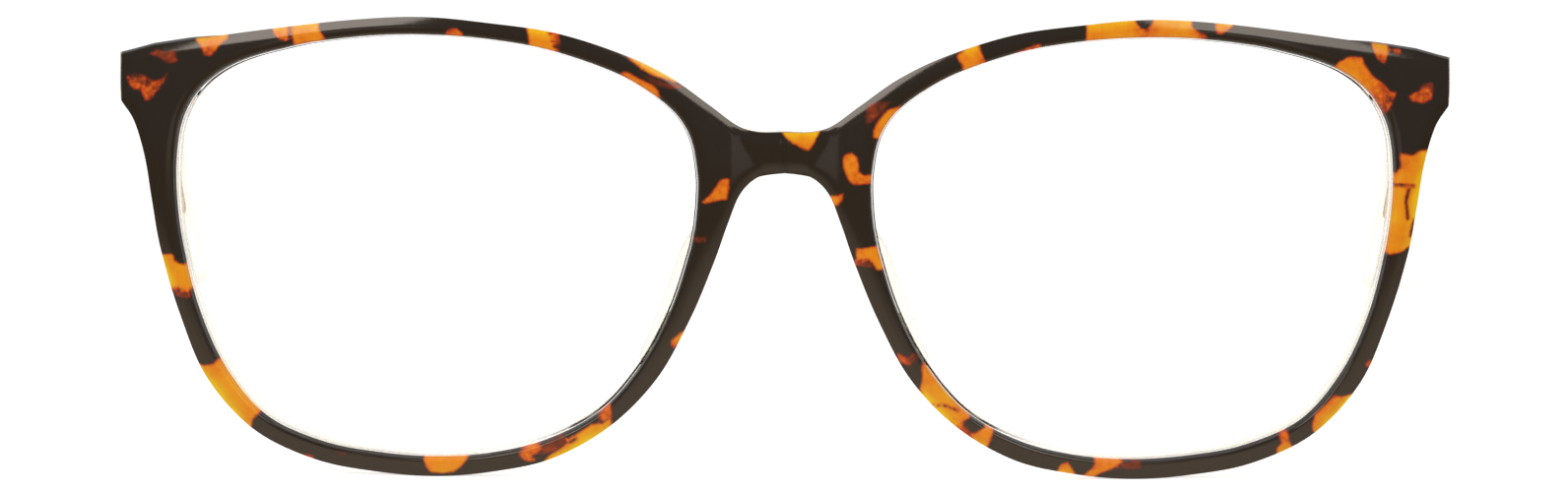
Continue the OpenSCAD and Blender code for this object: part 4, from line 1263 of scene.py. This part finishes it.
def barrel(k, arm, bore):
    """A D-shaped ring. arm: the direction of the arm and its length."""
    bm = bmesh.new()
    bmesh.ops.create_circle(bm, segments=ROUND, radius=bore)
    made = bmesh.ops.extrude_edge_only(bm, edges=bm.edges[:])["geom"]
    way, length = arm
    aside = Vector((-way.y, way.x, 0))
    for v in points_in(made):
        d = v.co.normalized()
        forth = d.dot(way)
        reach = BARREL_R
        if forth > 1e-6:
            reach = min(length / forth, BARREL_R / max(1e-6, abs(d.dot(aside))))
        v.co = d * reach
    made = bmesh.ops.extrude_face_region(bm, geom=bm.faces[:])["geom"]
    bmesh.ops.translate(bm, verts=points_in(made), vec=(0, 0, BARREL_H - BARREL_PLAY))
    bmesh.ops.recalc_face_normals(bm, faces=bm.faces)
    soften(bm)
    low = END_Z - HINGE_HALF + k * BARREL_H + BARREL_PLAY / 2
    bmesh.ops.translate(bm, verts=bm.verts, vec=(HINGE_X, HINGE_Y, low))
    return bm


def front_hinge():
    """The plate in the end piece, the ribs that anchor it and three barrels."""
    half = PLATE_H / 2
    low = (HINGE_X - BARREL_R, END_Y - PLATE_T, END_Z - half)
    bm = block(low, (HINGE_X + BARREL_R, END_Y, END_Z + half))
    soften(bm)
    spread = RIB_SHARE * (BARREL_R - RIB_W / 2)
    half = RIB_SHARE * PLATE_H / 2
    for k in range(RIB_COUNT):
        x = HINGE_X + spread * (2 * k / (RIB_COUNT - 1) - 1)
        low = (x - RIB_W / 2, END_Y - PLATE_T - RIB_DEPTH, END_Z - half)
        rib = block(low, (x + RIB_W / 2, END_Y - PLATE_T / 2, END_Z + half))
        soften(rib)
        merge_into(bm, rib)
    for k in range(0, BARRELS, 2):
        bore = HEAD_R + BORE_GAP if k == BARRELS - 1 else SCREW_R + BORE_GAP
        merge_into(bm, barrel(k, (Vector((0, -1, 0)), AXIS_BACK), bore))
    return bm


def temple_hinge():
    """The plate along the temple, sloping with it, and two barrels."""
    half = TEMPLE_PLATE_H / 2
    bm = block((0, PLATE_SETBACK, -half), (PLATE_T, PLATE_SETBACK + TEMPLE_PLATE_L, half))
    soften(bm)
    bmesh.ops.rotate(bm, verts=bm.verts, cent=(0, 0, 0), matrix=Matrix.Rotation(-SLOPE, 3, "X"))
    bmesh.ops.translate(bm, verts=bm.verts, vec=(HINGE_X + AXIS_INSET, BUTT_Y, END_Z))
    for k in range(1, BARRELS, 2):
        merge_into(bm, barrel(k, (Vector((1, 0, 0)), AXIS_INSET), SCREW_R + BORE_GAP))
    return bm


# %% [markdown]
# ## Hinge screws
# A screw is turned from steel rod: a slotted head that sits in the top barrel, and a shank
# through all five. The slot is what two half discs leave between them.


# %% Screws
SLOT_W, SLOT_DEPTH = 0.3, 0.25
ROD_SEGMENTS = 40


def rod(radius, low, high):
    bm = bmesh.new()
    bmesh.ops.create_cone(
        bm, cap_ends=True, segments=ROD_SEGMENTS, radius1=radius, radius2=radius, depth=high - low,
    )
    bmesh.ops.translate(bm, verts=bm.verts, vec=(0, 0, (low + high) / 2))
    return bm


def screw():
    """Made with the underside of its head at Z = 0."""
    bm = rod(SCREW_R, HEAD_SINK - 2 * HINGE_HALF, 0.05)
    soften(bm, 0.06, 60)
    merge_into(bm, rod(HEAD_R, 0, HEAD_H - SLOT_DEPTH))
    for way in (1, -1):
        half = rod(HEAD_R, HEAD_H - SLOT_DEPTH, HEAD_H)
        cut = bmesh.ops.bisect_plane(
            half, geom=half.verts[:] + half.edges[:] + half.faces[:],
            plane_co=(0, way * SLOT_W / 2, 0), plane_no=(0, way, 0), clear_inner=True,
        )
        bmesh.ops.edgeloop_fill(half, edges=edges_in(cut["geom_cut"]))
        bmesh.ops.recalc_face_normals(half, faces=half.faces)
        soften(half, 0.04, 60)
        merge_into(bm, half)
    bmesh.ops.translate(bm, verts=bm.verts, vec=(HINGE_X, HINGE_Y, END_Z + HINGE_HALF - HEAD_SINK))
    return bm


for side in ("left", "right"):
    temple = f"temple_{side}"
    pieces = [
        (front_hinge(), "milled_front_hinge", "front", "hinge_metal", nickel, "front_hinge"),
        (temple_hinge(), "milled_temple_hinge", temple, "hinge_metal", nickel, "temple_hinge"),
        (screw(), "slotted_screw", "front", "screw_steel", steel, "hinge_screw"),
    ]
    for made, name, body, slot, material, node in pieces:
        made = made if side == "left" else mirror_to_right(made)
        finish(made, f"{name}_{side}", body, material, f"{node}_{side}", sharp=35)

# %% [markdown]
# ## Camera
# The photograph looks along the temples, 8 degrees from above, from far away: the temples
# hide behind the end pieces. A long lens from 4.6 metres gives nearly the same picture. The scale
# is the photograph's pixels for each millimetre at the front, and its roll is a quarter degree.
# The height of the sensor sets the picture. Its width doesn't change this picture.

# %% Camera
DISTANCE = 4.6
SENSOR_H, SENSOR_W = 24.0, 148.0


def add_camera():
    rest_y = surface(LENS_X, 0)[0] + SHIFT_Y
    aim_x = (PHOTO_W / 2 - MIDDLE_COLUMN) / PIXELS_PER_MM
    aim_z = (TABLE_ROW - PHOTO_H / 2) / PIXELS_PER_MM / math.cos(SEEN_AT)
    aim = Vector((aim_x, rest_y, aim_z)) * MM
    away = Vector((0, -math.cos(SEEN_AT), math.sin(SEEN_AT)))
    data = bpy.data.cameras.new("camera")
    data.sensor_fit = "VERTICAL"
    data.sensor_height, data.sensor_width = SENSOR_H, SENSOR_W
    data.lens = SENSOR_H * DISTANCE / (PHOTO_H / PIXELS_PER_MM * MM)
    data.clip_end = 50
    camera = bpy.data.objects.new("camera", data)
    camera.location = aim + DISTANCE * away
    look = (-away).to_track_quat("-Z", "Y").to_matrix().to_4x4()
    camera.matrix_world = Matrix.Translation(camera.location) @ look @ Matrix.Rotation(ROLL, 4, "Z")
    bpy.context.scene.collection.objects.link(camera)
    bpy.context.scene.camera = camera
    print("camera:", [round(c, 3) for c in camera.location], "lens", round(data.lens), "mm")


add_camera()


# %% [markdown]
# ## Studio
# A white floor and a white world light the glasses evenly. In front, two soft boxes high on
# either side draw grey streaks on the upper rims, and two faint cards at the height of the
# glasses lift the flanks of the bridge. The kind of a ray decides how bright the surroundings
# are: white for the camera and through clear plastic, darker for what lights the dark acetate or
# is mirrored in it. Only the floor, as mirrored, carries a painted warm pool of light that is
# brightest near the glasses. So the background is white without more lamps, and the floor keeps
# shadows.

# %% Floor, world and lamps
DIFFUSE_LIGHT, MIRRORED_LIGHT, THROUGH_LIGHT = 0.30, 0.24, 1.12
FLOOR_GREYS, FLOOR_GLOW = (0.78, 0.82), 0.7
FLOOR_LIGHT_POOL, POOL_NEAR, POOL_FAR = (1.0, 0.80, 0.62, 1), (0.10, 1.2), (0.30, 0.25)


def surroundings(tree, diffuse, mirrored):
    """How bright the surroundings look to each kind of ray."""
    path = tree.nodes.new("ShaderNodeLightPath").outputs
    strength = diffuse
    kinds = {"Is Glossy Ray": mirrored, "Is Transmission Ray": THROUGH_LIGHT, "Is Camera Ray": 1.0}
    for kind, light in kinds.items():
        pick = tree.nodes.new("ShaderNodeMapRange")
        tree.links.new(path[kind], pick.inputs["Value"])
        if isinstance(strength, bpy.types.NodeSocket):
            tree.links.new(strength, pick.inputs["To Min"])
        else:
            pick.inputs["To Min"].default_value = strength
        pick.inputs["To Max"].default_value = light
        strength = pick.outputs[0]
    return strength


def floor_material():
    t = Tree("studio floor")
    colour = t.mix(t.noise(40, 4), *[(grey, grey, grey, 1) for grey in FLOOR_GREYS])
    matt = t.add("BsdfDiffuse", {"Color": colour}).outputs[0]
    glow = t.math("MULTIPLY", surroundings(t.material.node_tree, 0.0, 0.0), FLOOR_GLOW)
    own = t.add("Emission", {"Strength": glow}).outputs[0]
    lit = t.add("AddShader", {0: matt, 1: own}).outputs[0]
    # Painted light: mirrored in the acetate, the floor shows a warm pool of light, brightest near
    # the glasses and fading farther off.
    away = t.add("VectorMath", {0: t.coordinates}, operation="LENGTH").outputs["Value"]
    light_pool = t.map(away, POOL_NEAR[0], POOL_FAR[0], POOL_NEAR[1], POOL_FAR[1])
    mirrored = t.add("Emission", {"Color": FLOOR_LIGHT_POOL, "Strength": light_pool}).outputs[0]
    path = t.add("LightPath").outputs
    is_mirrored = t.math("SUBTRACT", path["Is Glossy Ray"], path["Is Transmission Ray"], clamp=True)
    return t.finish(t.add("MixShader", {"Fac": is_mirrored, 1: lit, 2: mirrored}).outputs[0])


def add_floor():
    bm = bmesh.new()
    bmesh.ops.create_grid(bm, x_segments=4, y_segments=4, size=6)
    mesh = bpy.data.meshes.new("floor")
    bm.to_mesh(mesh)
    bm.free()
    floor = bpy.data.objects.new("floor", mesh)
    mesh.materials.append(floor_material())
    bpy.context.scene.collection.objects.link(floor)


def add_world():
    world = bpy.data.worlds.new("studio")
    world.use_nodes = True
    tree = world.node_tree
    tree.nodes.clear()
    background = tree.nodes.new("ShaderNodeBackground")
    background.inputs["Color"].default_value = (1, 1, 1, 1)
    tree.links.new(surroundings(tree, DIFFUSE_LIGHT, MIRRORED_LIGHT), background.inputs["Strength"])
    output = tree.nodes.new("ShaderNodeOutputWorld")
    tree.links.new(background.outputs[0], output.inputs["Surface"])
    bpy.context.scene.world = world


LAMP_DISTANCE, LAMP_AIM = 1.2, Vector((0, -0.07, 0.04))
LAMP_COLOUR = (1.0, 0.90, 0.80)
LAMPS = (
    ("soft_box_left", 30, 32.5, (0.48, 0.7), 4.6),
    ("card_left", 21, 0, (0.26, 0.3), 0.5),
    ("soft_box_right", -30, 32.5, (0.48, 0.7), 6.0),
    ("card_right", -21, 0, (0.26, 0.3), 0.5),
)


def add_lamp(name, azimuth, elevation, size, radiance):
    """A rectangular lamp in front of the glasses. Azimuth and elevation are in degrees."""
    data = bpy.data.lights.new(name, "AREA")
    data.shape = "RECTANGLE"
    data.size, data.size_y = size
    data.color = LAMP_COLOUR
    data.energy = radiance * math.pi * size[0] * size[1]
    lamp = bpy.data.objects.new(name, data)
    a, e = math.radians(azimuth), math.radians(elevation)
    away = Vector((math.sin(a) * math.cos(e), -math.cos(a) * math.cos(e), math.sin(e)))
    lamp.location = LAMP_AIM + LAMP_DISTANCE * away
    lamp.rotation_euler = away.to_track_quat("Z", "Y").to_euler()
    bpy.context.scene.collection.objects.link(lamp)


add_floor()
add_world()
for lamp in LAMPS:
    add_lamp(*lamp)
bpy.context.scene.view_settings.view_transform = "Standard"
print("lamps:", [lamp[0] for lamp in LAMPS])
